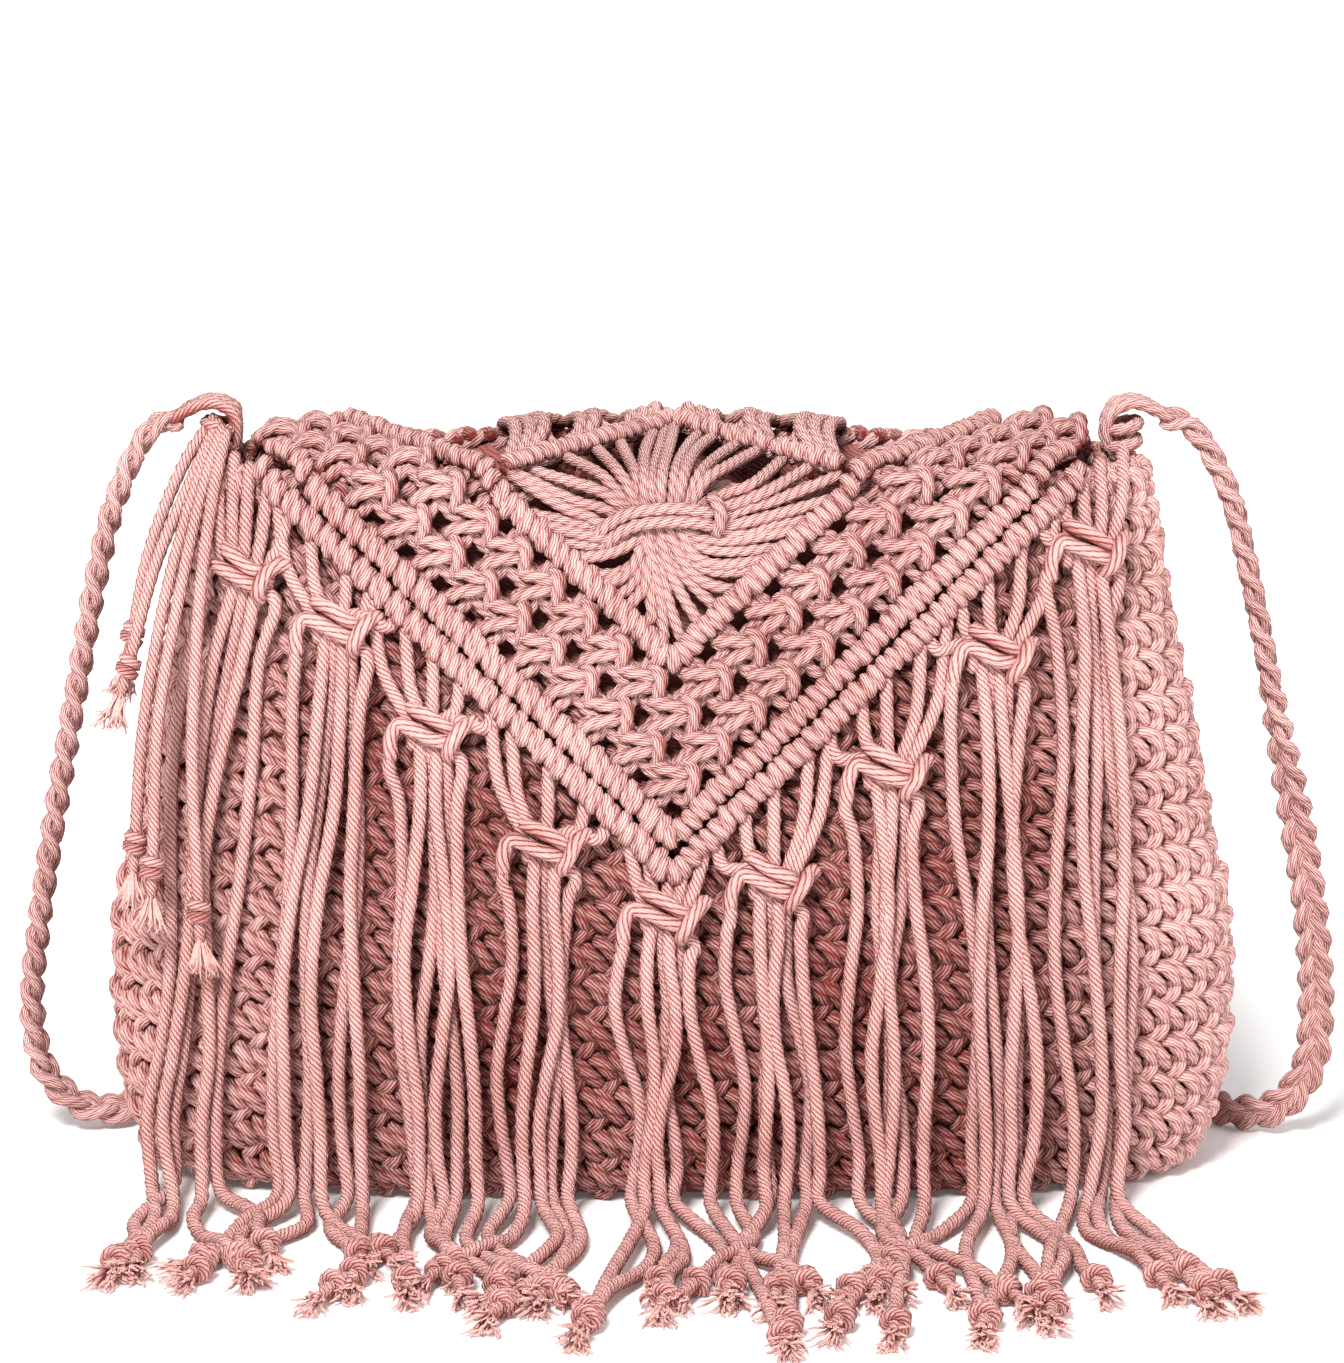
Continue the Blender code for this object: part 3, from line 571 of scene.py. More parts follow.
class CordWork:
    """Twisted cords that are gathered as one mesh, with a UV map that follows each cord and a point
    attribute of painted shade.
    """

    UV_NAME = "cord"
    PAINTED_SHADE_NAME = "recess"
    SIDES = 6
    # Painted shade: a cord is darker on its side away from up and near both ends, and copied stitches are
    # darker the deeper their points lie.
    UNDERSIDE_SHADE_START = 0.68
    UNDERSIDE_SHADE_FALL = 1.5
    END_SHADE_LENGTH = 0.0012
    END_SHADE_PAINT = 0.7
    COPY_SHADE = 0.6
    COPY_TOP = 0.0008
    COPY_DEPTH = 0.0034
    FLOOR_CLEAR = 0.0003

    def __init__(self, name: str, finish: Finish, slot: str, step: float = 0.0011) -> None:
        """An empty piece.

        Args:
            name: the piece's name.
            finish: its finish.
            slot: the record's material slot.
            step: the distance between the rings of a cord.
        """
        self.name = name
        self.finish = finish
        self.slot = slot
        self.step = step
        self.points: list[np.ndarray] = []
        self.recess: list[np.ndarray] = []
        self.faces: dict[int, list[np.ndarray]] = {}
        self.marks: dict[int, list[np.ndarray]] = {}
        # How strong the painted shade on deeper points is when this piece is copied.
        self.depth_shade = 1.0
        self.size = 0

    def add_faces(self, faces: np.ndarray, marks: np.ndarray) -> None:
        """Keep faces of one kind with the UV place of each of their corners."""
        corners = faces.shape[1]
        self.faces.setdefault(corners, []).append(faces)
        self.marks.setdefault(corners, []).append(marks)

    def cord(
        self,
        route: list,
        radius: float,
        up: Vector | tuple = (0.0, -1.0, 0.0),
        twist: Twist = Twist(),
        phase: float = 0.0,
        ends: tuple[float, float] = (0.7, 0.7),
        sides: int = SIDES,
        shade_paint: float = 1.0,
    ) -> None:
        """Lay one twisted cord.

        Args:
            route: points that the cord follows.
            radius: the cord's radius at the crest of a ply.
            up: a direction that the first ring is turned to.
            twist: how it is twisted.
            phase: where the plies start, in turns.
            ends: how far the first and the last ring shrink.
            sides: the corners of a ring.
            shade_paint: how strong the painted shade is on the side away from up and at the two ends.
        """
        line = smooth_route(route, self.step)
        count = len(line)
        ahead = unit_rows(np.gradient(line, axis=0))
        normals = np.empty_like(line)
        normal = np.array(tuple(up), float)
        for i in range(count):
            turned = normal - ahead[i] * normal.dot(ahead[i])
            length = math.sqrt(turned.dot(turned))
            if length < 1e-5:
                turned = np.cross(ahead[i], (0.31, 0.72, 0.62))
                length = math.sqrt(turned.dot(turned))
            normal = turned / length
            normals[i] = normal
        across = np.cross(normals, ahead)
        gone = walked(line)
        turns = phase - gone / twist.lay
        corner = np.arange(sides)
        angles = 2 * math.pi * (corner[None, :] / sides + turns[:, None])
        rounds = np.where(corner % 2 == 0, 1.0, twist.groove) if sides == self.SIDES else np.ones(sides)
        size = np.full(count, radius)
        size[0] *= ends[0]
        size[-1] *= ends[1]
        reach = rounds[None, :] * size[:, None]
        ring = (
            line[:, None, :]
            + across[:, None, :] * (np.cos(angles) * reach)[:, :, None]
            + normals[:, None, :] * (np.sin(angles) * reach)[:, :, None]
        )
        # Painted shade on the side away from up, and near the ends where they tuck into other cords.
        tuck = np.exp(-gone / self.END_SHADE_LENGTH) + np.exp((gone - gone[-1]) / self.END_SHADE_LENGTH)
        side_shade = (self.UNDERSIDE_SHADE_START - np.sin(angles)) / self.UNDERSIDE_SHADE_FALL
        shade = np.clip(side_shade + tuck[:, None] * self.END_SHADE_PAINT, 0.0, 1.0)
        self.recess.append((shade * shade_paint).ravel())
        self.skin(ring.reshape(-1, 3), count, sides, turns)

    def skin(self, points: np.ndarray, count: int, sides: int, turns: np.ndarray) -> None:
        """Join rings of points as one closed cord.

        Args:
            points: the rings' points, ring after ring.
            count: the number of rings.
            sides: the corners of a ring.
            turns: how far the plies have turned at each ring.
        """
        i = np.arange(count - 1)[:, None]
        k = np.arange(sides)[None, :]
        following = (k + 1) % sides
        quads = np.stack(
            [i * sides + k, i * sides + following, (i + 1) * sides + following, (i + 1) * sides + k], axis=-1
        ).reshape(-1, 4)
        low = np.broadcast_to(k / sides, (count - 1, sides))
        high = low + 1 / sides
        first = np.broadcast_to(turns[:-1, None], low.shape)
        second = np.broadcast_to(turns[1:, None], low.shape)
        marks = np.stack(
            [
                np.stack([low, first], -1),
                np.stack([high, first], -1),
                np.stack([high, second], -1),
                np.stack([low, second], -1),
            ],
            axis=2,
        ).reshape(-1, 4, 2)
        self.add_faces(quads + self.size, marks)
        ring = np.arange(sides)
        caps = np.stack([ring[::-1], ring + (count - 1) * sides])
        cap_marks = np.zeros((2, sides, 2))
        self.add_faces(caps + self.size, cap_marks)
        self.points.append(points)
        self.size += len(points)

    def copies(self, pattern: "CordWork", places: np.ndarray, axes: np.ndarray, painted_shadow: np.ndarray) -> None:
        """Add turned copies of another piece's cords.

        Args:
            pattern: the cords to copy, around the origin.
            places: the copies' origins, one row each.
            axes: the copies' three directions, one 3 by 3 block each, a direction to a row.
            painted_shadow: the painted shadow that the cords in front cast on each copy, from 0 to 1.
        """
        points = np.vstack(pattern.points)
        made = places[:, None, :] + points[None, :, :] @ axes
        count = len(places)
        shift = np.arange(count)[:, None, None] * len(points) + self.size
        for corners, blocks in pattern.faces.items():
            faces = np.vstack(blocks)
            marks = np.vstack(pattern.marks[corners])
            self.faces.setdefault(corners, []).append((faces[None] + shift).reshape(-1, corners))
            self.marks.setdefault(corners, []).append(np.tile(marks, (count, 1, 1)))
        self.points.append(made.reshape(-1, 3))
        # Painted shade: deeper points of a copy are darker, on top of the pattern's own painted shade, and
        # the painted shadow of the cords in front is laid over it.
        depth = np.clip((self.COPY_TOP - points[:, 2]) / self.COPY_DEPTH, 0.0, 1.0) * pattern.depth_shade
        recess = 1 - (1 - np.concatenate(pattern.recess) * self.COPY_SHADE) * (1 - depth)
        self.recess.append((1 - (1 - recess[None, :]) * (1 - painted_shadow[:, None])).ravel())
        self.size += count * len(points)

    def build(self, *replaced: str) -> bpy.types.Object:
        """Make the piece.

        Args:
            *replaced: the nodes that the piece stands for.

        Returns:
            The piece, riding on the bag's body.
        """
        points = np.vstack(self.points)
        points[:, 2] = np.maximum(points[:, 2], self.FLOOR_CLEAR)
        mesh = bpy.data.meshes.new(self.name)
        mesh.vertices.add(len(points))
        mesh.vertices.foreach_set("co", points.astype(np.float32).ravel())
        corners, starts, marks, start = [], [], [], 0
        for size, blocks in self.faces.items():
            faces = np.vstack(blocks)
            corners.append(faces.ravel())
            starts.append(start + np.arange(len(faces)) * size)
            marks.append(np.vstack(self.marks[size]).reshape(-1, 2))
            start += faces.size
        corners = np.concatenate(corners)
        starts = np.concatenate(starts)
        mesh.loops.add(len(corners))
        mesh.loops.foreach_set("vertex_index", corners.astype(np.int32))
        mesh.polygons.add(len(starts))
        mesh.polygons.foreach_set("loop_start", starts.astype(np.int32))
        mesh.polygons.foreach_set("use_smooth", np.ones(len(starts), bool))
        layer = mesh.uv_layers.new(name=self.UV_NAME)
        layer.data.foreach_set("uv", np.concatenate(marks).astype(np.float32).ravel())
        # The painted shade goes to the mesh as a point attribute that the material reads.
        recess = mesh.attributes.new(self.PAINTED_SHADE_NAME, "FLOAT", "POINT")
        recess.data.foreach_set("value", np.concatenate(self.recess).astype(np.float32))
        mesh.update(calc_edges=True)
        mesh.validate()
        piece = bpy.data.objects.new(self.name, mesh)
        return dress(piece, self.finish, self.slot, *replaced)


def dress(piece: bpy.types.Object, finish: Finish, slot: str, *replaced: str) -> bpy.types.Object:
    """Finish a piece, put it in the scene and let it ride on the bag's body.

    Args:
        piece: the piece, with its mesh.
        finish: its finish.
        slot: the record's material slot; not used.
        *replaced: the nodes that the piece stands for.

    Returns:
        The piece.
    """
    piece.data.materials.append(finish.value.material())
    bpy.context.scene.collection.objects.link(piece)
    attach(piece, ROOT)
    if replaced:
        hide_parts(*replaced)
    triangles = sum(len(face.vertices) - 2 for face in piece.data.polygons)
    log.info("%s: %d triangles", piece.name, triangles)
    return piece


@dataclass
class Pouch:
    """The crocheted pouch: rows of stitches on a wall coloured dark as painted shade, and the chain round
    its mouth.
    """

    pitch: float = 0.0090
    cord_radius: float = 0.00212
    twist: Twist = Twist(0.0125, 0.88)
    wall_inset: float = 0.0040
    row_shift: float = 0.37
    level_step: float = 0.02
    turn_spread: float = 0.06
    size_spread: float = 0.03
    place_spread: float = 0.0003
    sink: float = 0.0022
    # shade is the strength of the painted shadow behind the fringe, edge_shade the painted shade on the
    # inner side of the mouth's row.
    shade: float = 0.57
    edge_shade: float = 0.15
    wide: float = 1.00
    low: float = 0.98
    rim_radius: float = 0.0018
    rim_twist: Twist = Twist(0.0125, 0.84)
    rim_loop: float = 0.011
    rim_steps: int = 6
    rim_swing: float = 0.0021
    rim_rise: float = 0.0016
    rim_sink: float = 0.0020
    slot: str = "crochet_cord"
    bands: tuple[tuple[str, int, int], ...] = (
        ("pouch_stitches_low", 0, 5),
        ("pouch_stitches_middle", 5, 10),
        ("pouch_stitches_high", 10, 15),
        ("pouch_stitches_top", 15, 19),
    )

    def stitch(self, depth_shade: float) -> CordWork:
        """One crochet stitch around the origin: x across, y up and z outwards.

        Args:
            depth_shade: how strong the painted shade on its inner side is.

        Returns:
            The stitch's cords.
        """
        made = CordWork("stitch", Finish.CROCHET, self.slot, 0.00125)
        made.depth_shade = depth_shade
        leg = [
            (-0.0051, 0.0044, -0.0042),
            (-0.0043, 0.0041, -0.0010),
            (-0.0026, 0.0024, 0.0009),
            (-0.0006, 0.0000, 0.0011),
            (0.0010, -0.0022, -0.0004),
            (0.0017, -0.0032, -0.0042),
        ]
        hook = [
            (-0.0006, 0.0044, -0.0042),
            (0.0006, 0.0043, -0.0006),
            (0.0024, 0.0034, 0.0014),
            (0.0040, 0.0014, 0.0018),
            (0.0048, -0.0006, 0.0000),
            (0.0050, -0.0018, -0.0042),
        ]
        bead = [
            (0.0014, -0.0053, -0.0042),
            (0.0025, -0.0049, -0.0004),
            (0.0043, -0.0034, 0.0009),
            (0.0059, -0.0016, -0.0004),
            (0.0066, -0.0008, -0.0042),
        ]
        out = (0.0, 0.0, 1.0)
        for route, size, phase in ((leg, 1.0, 0.10), (hook, 0.98, 0.35), (bead, 0.90, 0.60)):
            made.cord(route, self.cord_radius * size, out, self.twist, phase)
        return made

    def ring_places(self, share: float, inward: float, count_angles: int = 720) -> np.ndarray:
        """The closed outline at a height share as points."""
        angles = np.linspace(0.0, 2 * math.pi, count_angles, endpoint=False)
        return np.array([tuple(POUCH.outline(share, angle, inward)) for angle in angles])

    def row(self, index: int, work: CordWork, pattern: CordWork, draw: random.Random) -> None:
        """Crochet one row.

        Args:
            index: the row, from the base up.
            work: the piece that takes the stitches.
            pattern: the stitch.
            draw: the source of small irregularities.
        """
        share = (index + 0.5) / POUCH.rows
        here = self.ring_places(share, 0.0)
        above = self.ring_places(min(share + self.level_step, 1.0), 0.0)
        below = self.ring_places(max(share - self.level_step, 0.0), 0.0)
        ahead = unit_rows(np.roll(here, -1, axis=0) - np.roll(here, 1, axis=0))
        rise = unit_rows(above - below)
        spans = np.linalg.norm(np.roll(here, -1, axis=0) - here, axis=1)
        along = np.concatenate([[0.0], np.cumsum(spans)])
        count = int(round(along[-1] / self.pitch))
        wanted = (np.arange(count) + (index * self.row_shift) % 1.0) * along[-1] / count
        places, axes = [], []
        for distance in wanted:
            at = int(np.searchsorted(along, distance, side="right") - 1) % len(here)
            share_on = (distance - along[at]) / max(spans[at], 1e-9)
            following = (at + 1) % len(here)
            point = here[at] * (1 - share_on) + here[following] * share_on
            if self.hidden(point):
                continue
            across = ahead[at]
            up = rise[at] - across * rise[at].dot(across)
            up /= np.linalg.norm(up)
            out = np.cross(across, up)
            turn = draw.gauss(0.0, self.turn_spread)
            cosine, sine = math.cos(turn), math.sin(turn)
            across, up = across * cosine + up * sine, up * cosine - across * sine
            grow = 1.0 + draw.gauss(0.0, self.size_spread)
            point = point + out * (draw.gauss(0.0, self.place_spread) - self.sink)
            places.append(point + up * draw.gauss(0.0, self.place_spread))
            axes.append(np.array([across * grow * self.wide, up * grow * self.low, out]))
        if places:
            spots = np.array(places)
            work.copies(pattern, spots, np.array(axes), self.painted_shadow(spots))

    def painted_shadow(self, spots: np.ndarray) -> np.ndarray:
        """The painted shadow that the flap and the fringe cast on places of the pouch.

        Args:
            spots: the places, one row each.

        Returns:
            The painted shadow on each, from 0 to 1.
        """
        # Painted shadow: strongest in the front's middle and low down, fading towards the sides and upwards.
        across = np.clip((0.112 - np.abs(spots[:, 0])) / 0.030, 0.0, 1.0)
        near_edge = np.clip(1.3 - spots[:, 2] / 0.30, 0.0, 1.0)
        return np.where(spots[:, 1] < 0, self.shade * across * near_edge, 0.0)

    def hidden(self, point: np.ndarray) -> bool:
        """Whether the flap covers a place of the front.

        Args:
            point: the place.

        Returns:
            True where the flap lies on it.
        """
        x, y, z = point
        if y > 0 or abs(x) > FLAP.half_width - 0.006:
            return False
        return z > FLAP.arm_q(x, 0.004)

    def wall(self) -> bpy.types.Object:
        """The pouch's own wall behind the stitches, its floor and its inside, in a darker cotton colour as
        painted shade.
        """
        top = 0.985
        path = [("base", 0.0), ("base", 0.35), ("base", 0.7), ("base", 0.97)]
        path += [("out", share) for share in np.linspace(0.004, top, 28)]
        path += [("in", share) for share in np.linspace(top, 0.04, 20)]
        path += [("floor", 0.94), ("floor", 0.6), ("floor", 0.3), ("floor", 0.0)]
        columns, rows = 128, len(path) - 1
        mesh = bmesh.new()
        bmesh.ops.create_grid(mesh, x_segments=columns, y_segments=rows, size=1.0)
        layer = mesh.loops.layers.uv.new(CordWork.UV_NAME)
        spots = {vert: ((vert.co.x + 1) / 2, round((vert.co.y + 1) / 2 * rows)) for vert in mesh.verts}
        for face in mesh.faces:
            for loop in face.loops:
                u, index = spots[loop.vert]
                loop[layer].uv = (u * 24.0, index * 0.5)
        for vert, (u, index) in spots.items():
            kind, value = path[index]
            angle = 2 * math.pi * u
            if kind == "out":
                vert.co = POUCH.outline(value, angle, self.wall_inset)
            elif kind == "in":
                vert.co = POUCH.outline(value, angle, POUCH.wall)
            elif kind == "base":
                edge = POUCH.outline(0.0, angle, self.wall_inset)
                vert.co = Vector((edge.x * value, edge.y * value, 0.0006))
            else:
                edge = POUCH.outline(0.04, angle, POUCH.wall)
                vert.co = Vector((edge.x * value, edge.y * value, POUCH.wall))
        bmesh.ops.remove_doubles(mesh, verts=mesh.verts, dist=1e-6)
        bmesh.ops.recalc_face_normals(mesh, faces=mesh.faces)
        data = bpy.data.meshes.new("pouch_wall")
        mesh.to_mesh(data)
        mesh.free()
        data.polygons.foreach_set("use_smooth", np.ones(len(data.polygons), bool))
        piece = bpy.data.objects.new("pouch_wall", data)
        return dress(piece, Finish.INSIDE, self.slot, "pouch_body")

    def rim(self) -> bpy.types.Object:
        """The chain of loops that finishes the mouth's edge."""
        work = CordWork("pouch_rim", Finish.CROCHET, self.slot)
        ring = self.ring_places(1.0, POUCH.wall / 2, 360)
        spans = np.linalg.norm(np.roll(ring, -1, axis=0) - ring, axis=1)
        length = spans.sum()
        loops = round(length / self.rim_loop)
        steps = loops * self.rim_steps
        for start in (0.0, 0.5):
            route = []
            for i in range(steps + 1):
                share = i / steps
                at = share * len(ring)
                low = int(at) % len(ring)
                high = (low + 1) % len(ring)
                point = ring[low] * (1 - at % 1) + ring[high] * (at % 1)
                side = ring[high] - ring[low]
                side = np.array([side[1], -side[0], 0.0]) / max(np.linalg.norm(side), 1e-9)
                angle = 2 * math.pi * (i / self.rim_steps + start)
                height = math.sin(angle) * self.rim_rise - self.rim_sink
                route.append(point + side * math.cos(angle) * self.rim_swing + np.array([0, 0, height]))
            # Weak painted shade, since the chain's frame turns round the mouth and would bring the dark side
            # up.
            work.cord(route, self.rim_radius, (0, 0, 1), self.rim_twist, shade_paint=0.25)
        return work.build()

    def build(self) -> None:
        """Make the pouch."""
        draw = random.Random(11)
        # The mouth's row gets weaker painted shade on its inner side.
        pattern, edge_pattern = self.stitch(1.0), self.stitch(self.edge_shade)
        self.wall()
        for name, first, last in self.bands:
            work = CordWork(name, Finish.CROCHET, self.slot)
            for index in range(first, last):
                at_mouth = index == POUCH.rows - 1
                self.row(index, work, edge_pattern if at_mouth else pattern, draw)
            work.build()
        self.rim()


@dataclass
class Ridges:
    """The flap's ridges: cords wrapped side by side round a carrier."""

    cord_radius: float = 0.0021
    wrap_radius: float = 0.00185
    twist: Twist = Twist(0.0125, 0.86)
    steps: int = 6
    wide_pitch: float = 0.0032
    narrow_pitch: float = 0.0026
    rising_pitch: float = 0.0030
    stagger: float = 0.0003
    slant: float = 0.0009
    half_turn: float = 1.70
    slot: str = "flap_cord"

    def wrap(self, work: CordWork, line: list[tuple[float, float]], draw: random.Random) -> None:
        """Wrap one line of the flap.

        Where the line falls to the right the wraps stand upright in staggered pairs, elsewhere they lie
        straight across it.

        Args:
            work: the piece that takes the wraps.
            line: points (x, q) along the ridge, from left to right.
            draw: the source of small irregularities.
        """
        lift = FLAP.ridge_radius + FLAP.gap
        carrier = [FLAP.place(x, q, lift - 0.0004) for x, q in line]
        work.cord(carrier, self.wrap_radius * 1.3)
        points = smooth_route([(x, q, 0.0) for x, q in line], 0.0004)
        along = walked(points)
        gone, number = self.narrow_pitch * 0.5, 0
        while gone < along[-1] - self.narrow_pitch * 0.5:
            at = int(np.searchsorted(along, gone))
            x, q = points[at][0], points[at][1]
            before, after = points[max(at - 3, 0)], points[min(at + 3, len(points) - 1)]
            point, _, _, out = FLAP.frame_at(x, q)
            ahead = FLAP.place(after[0], after[1], 0) - FLAP.place(before[0], before[1], 0)
            ahead = (ahead - out * ahead.dot(out)).normalized()
            side = out.cross(ahead)
            falls = after[1] < before[1]
            odd = number % 2 == 1
            lean = (-self.slant if falls else 0.0005) + draw.gauss(0.0, 0.0003)
            stray = (self.stagger if odd else -self.stagger) if falls else draw.gauss(0.0, 0.0002)
            centre = point + out * (lift + draw.gauss(0.0, 0.00015)) + side * stray
            size = self.wrap_radius * (1.0 + draw.gauss(0.0, 0.05))
            route = []
            for i in range(self.steps + 1):
                turn = self.half_turn * (2 * i / self.steps - 1)
                shift = lean * turn / self.half_turn
                spot = centre + side * math.sin(turn) * size
                route.append(spot + out * math.cos(turn) * size + ahead * shift)
            radius = self.cord_radius if falls else self.cord_radius * 0.93
            work.cord(route, radius, route[0] - centre, self.twist, draw.random())
            step = (self.narrow_pitch if odd else self.wide_pitch) if falls else self.rising_pitch
            gone += step * (1.0 + draw.gauss(0.0, 0.05))
            number += 1

    def arm(self, inset: float) -> list[tuple[float, float]]:
        """A V of the flap from its left end to its right end."""
        end = FLAP.arm_end(inset)
        count = 28
        xs = [-end + 2 * end * i / count for i in range(count + 1)]
        return [(x, FLAP.arm_q(x, inset)) for x in xs]

    def arch(self) -> list[tuple[float, float]]:
        """The two upper sides of the diamond."""
        outer = FLAP.net_band + FLAP.diamond
        first = FLAP.net_band + FLAP.ridge_step() * 0.6
        left = []
        for i in range(11):
            u = first + (outer - first) * i / 10
            left.append(FLAP.lattice(u, outer))
        return left + [(-x, q) for x, q in reversed(left[:-1])]

    def build(self) -> None:
        """Make the four ridges."""
        for name, inset in (
            ("flap_ridge_outer", -FLAP.ridge_step()),
            ("flap_ridge_second", 0.0),
            ("flap_ridge_inner", FLAP.net_band),
        ):
            work = CordWork(name + "_wraps", Finish.FLAP, self.slot)
            self.wrap(work, self.arm(inset), random.Random(name))
            work.build(name)
        work = CordWork("flap_ridge_arch_wraps", Finish.FLAP, self.slot)
        self.wrap(work, self.arch(), random.Random(5))
        work.build("flap_ridge_arch")


@dataclass
class Net:
    """The open net of the flap: square knots on a lattice, joined by pairs of cords."""

    pitch: float = 0.0161
    cord_radius: float = 0.00188
    pair_twist: Twist = Twist(0.009, 0.80)
    knot_twist: Twist = Twist(0.0115, 0.82)
    most: int = 16
    arm_width: int = 2
    side_clear: float = 0.007
    back_clear: float = 0.003
    pair_gap: float = 0.0018
    low: float = 0.0017
    tilt: float = 0.30
    slot: str = "flap_cord"

    def lattice_place(self, number: int) -> float:
        """The lattice distance of a knot's number."""
        return (FLAP.net_band - self.pitch) / 2 + number * self.pitch

    def nodes(self) -> dict[tuple[int, int], tuple[float, float]]:
        """The knots that the net has.

        Returns:
            Their places on the flap, by their lattice numbers.
        """
        made = {}
        for i in range(self.most):
            for j in range(self.most):
                if min(i, j) >= self.arm_width:
                    continue
                x, q = FLAP.lattice(self.lattice_place(i), self.lattice_place(j))
                if abs(x) < FLAP.half_width - self.side_clear and q < FLAP.back(x) - self.back_clear:
                    made[(i, j)] = (x, q)
        return made

    def pair(
        self, work: CordWork, start: tuple[float, float], end: tuple[float, float], draw: random.Random
    ) -> None:
        """Two cords side by side.

        Args:
            work: the piece that takes them.
            start: the place (x, q) where they start.
            end: the place (x, q) where they end.
            draw: the source of small irregularities.
        """
        (x0, q0), (x1, q1) = start, end
        length = math.hypot(x1 - x0, q1 - q0)
        side_x, side_q = -(q1 - q0) / length, (x1 - x0) / length
        for side in (-1, 1):
            route = []
            for share in (0.0, 0.35, 0.65, 1.0):
                spread = side * self.pair_gap * (0.85 + 0.25 * math.sin(math.pi * share))
                x = x0 + (x1 - x0) * share + side_x * spread
                q = q0 + (q1 - q0) * share + side_q * spread
                route.append(FLAP.place(x, q, self.low + draw.gauss(0, 0.0002)))
            out = FLAP.frame_at(x0, q0)[3]
            work.cord(route, self.cord_radius, out, self.pair_twist, draw.random())

    def knot(self, work: CordWork, x: float, q: float, draw: random.Random) -> None:
        """One square knot: two bars, the loop that binds them at the right, and the cord above.

        Args:
            work: the piece that takes it.
            x: its place across the flap.
            q: its place up the flap.
            draw: the source of small irregularities.
        """
        point, across, up, out = FLAP.frame_at(x, q)
        grow = 1.0 + draw.gauss(0.0, 0.04)
        tilt = self.tilt * min(max(x / 0.02, -0.2), 1.0) + draw.gauss(0.0, 0.05)
        cosine, sine = math.cos(tilt) * grow, math.sin(tilt) * grow

        def at(a: float, b: float, lift: float) -> Vector:
            """A place of the knot, in millimetres across, up and outwards."""
            turned = across * (a * cosine - b * sine) + up * (a * sine + b * cosine)
            return point + (turned + out * lift) * MM

        bars = (
            [(-4.8, 3.4, 1.2), (-3.6, 3.1, 3.6), (-0.6, 2.5, 5.0), (2.4, 1.6, 4.4), (4.2, 1.0, 1.8)],
            [(-6.4, -4.2, 1.2), (-5.0, -2.8, 3.2), (-1.8, -1.5, 4.8), (1.8, -0.7, 4.6), (3.8, -0.4, 1.8)],
            [
                (2.6, 4.0, 1.4), (4.2, 3.4, 4.2), (5.3, 1.2, 5.8),
                (5.2, -1.4, 5.2), (4.4, -3.8, 3.2), (3.8, -5.2, 1.2),
            ],
            [(-3.6, 6.0, 1.2), (-2.6, 4.6, 2.4), (-1.4, 3.2, 3.0)],
        )
        for bar in bars:
            route = [at(a + draw.gauss(0, 0.12), b + draw.gauss(0, 0.12), lift) for a, b, lift in bar]
            work.cord(route, self.cord_radius, out, self.knot_twist, draw.random())

    def build(self) -> None:
        """Make the net."""
        draw = random.Random(23)
        work = CordWork("flap_net_knots", Finish.FLAP, self.slot)
        nodes = self.nodes()
        edge = FLAP.across_arm(FLAP.ridge_radius * 0.6)
        for (i, j), spot in nodes.items():
            u, v = self.lattice_place(i), self.lattice_place(j)
            for di, dj in ((1, 0), (0, 1)):
                if (i + di, j + dj) in nodes:
                    self.pair(work, spot, nodes[(i + di, j + dj)], draw)
            if i == 0:
                self.pair(work, spot, FLAP.lattice(edge, v), draw)
            if j == 0:
                self.pair(work, spot, FLAP.lattice(u, edge), draw)
            if i == 1 and j > 1:
                self.pair(work, spot, FLAP.lattice(FLAP.net_band - edge, v), draw)
            if j == 1 and i > 1:
                self.pair(work, spot, FLAP.lattice(u, FLAP.net_band - edge), draw)
            self.knot(work, *spot, draw)
        work.build("flap_net")


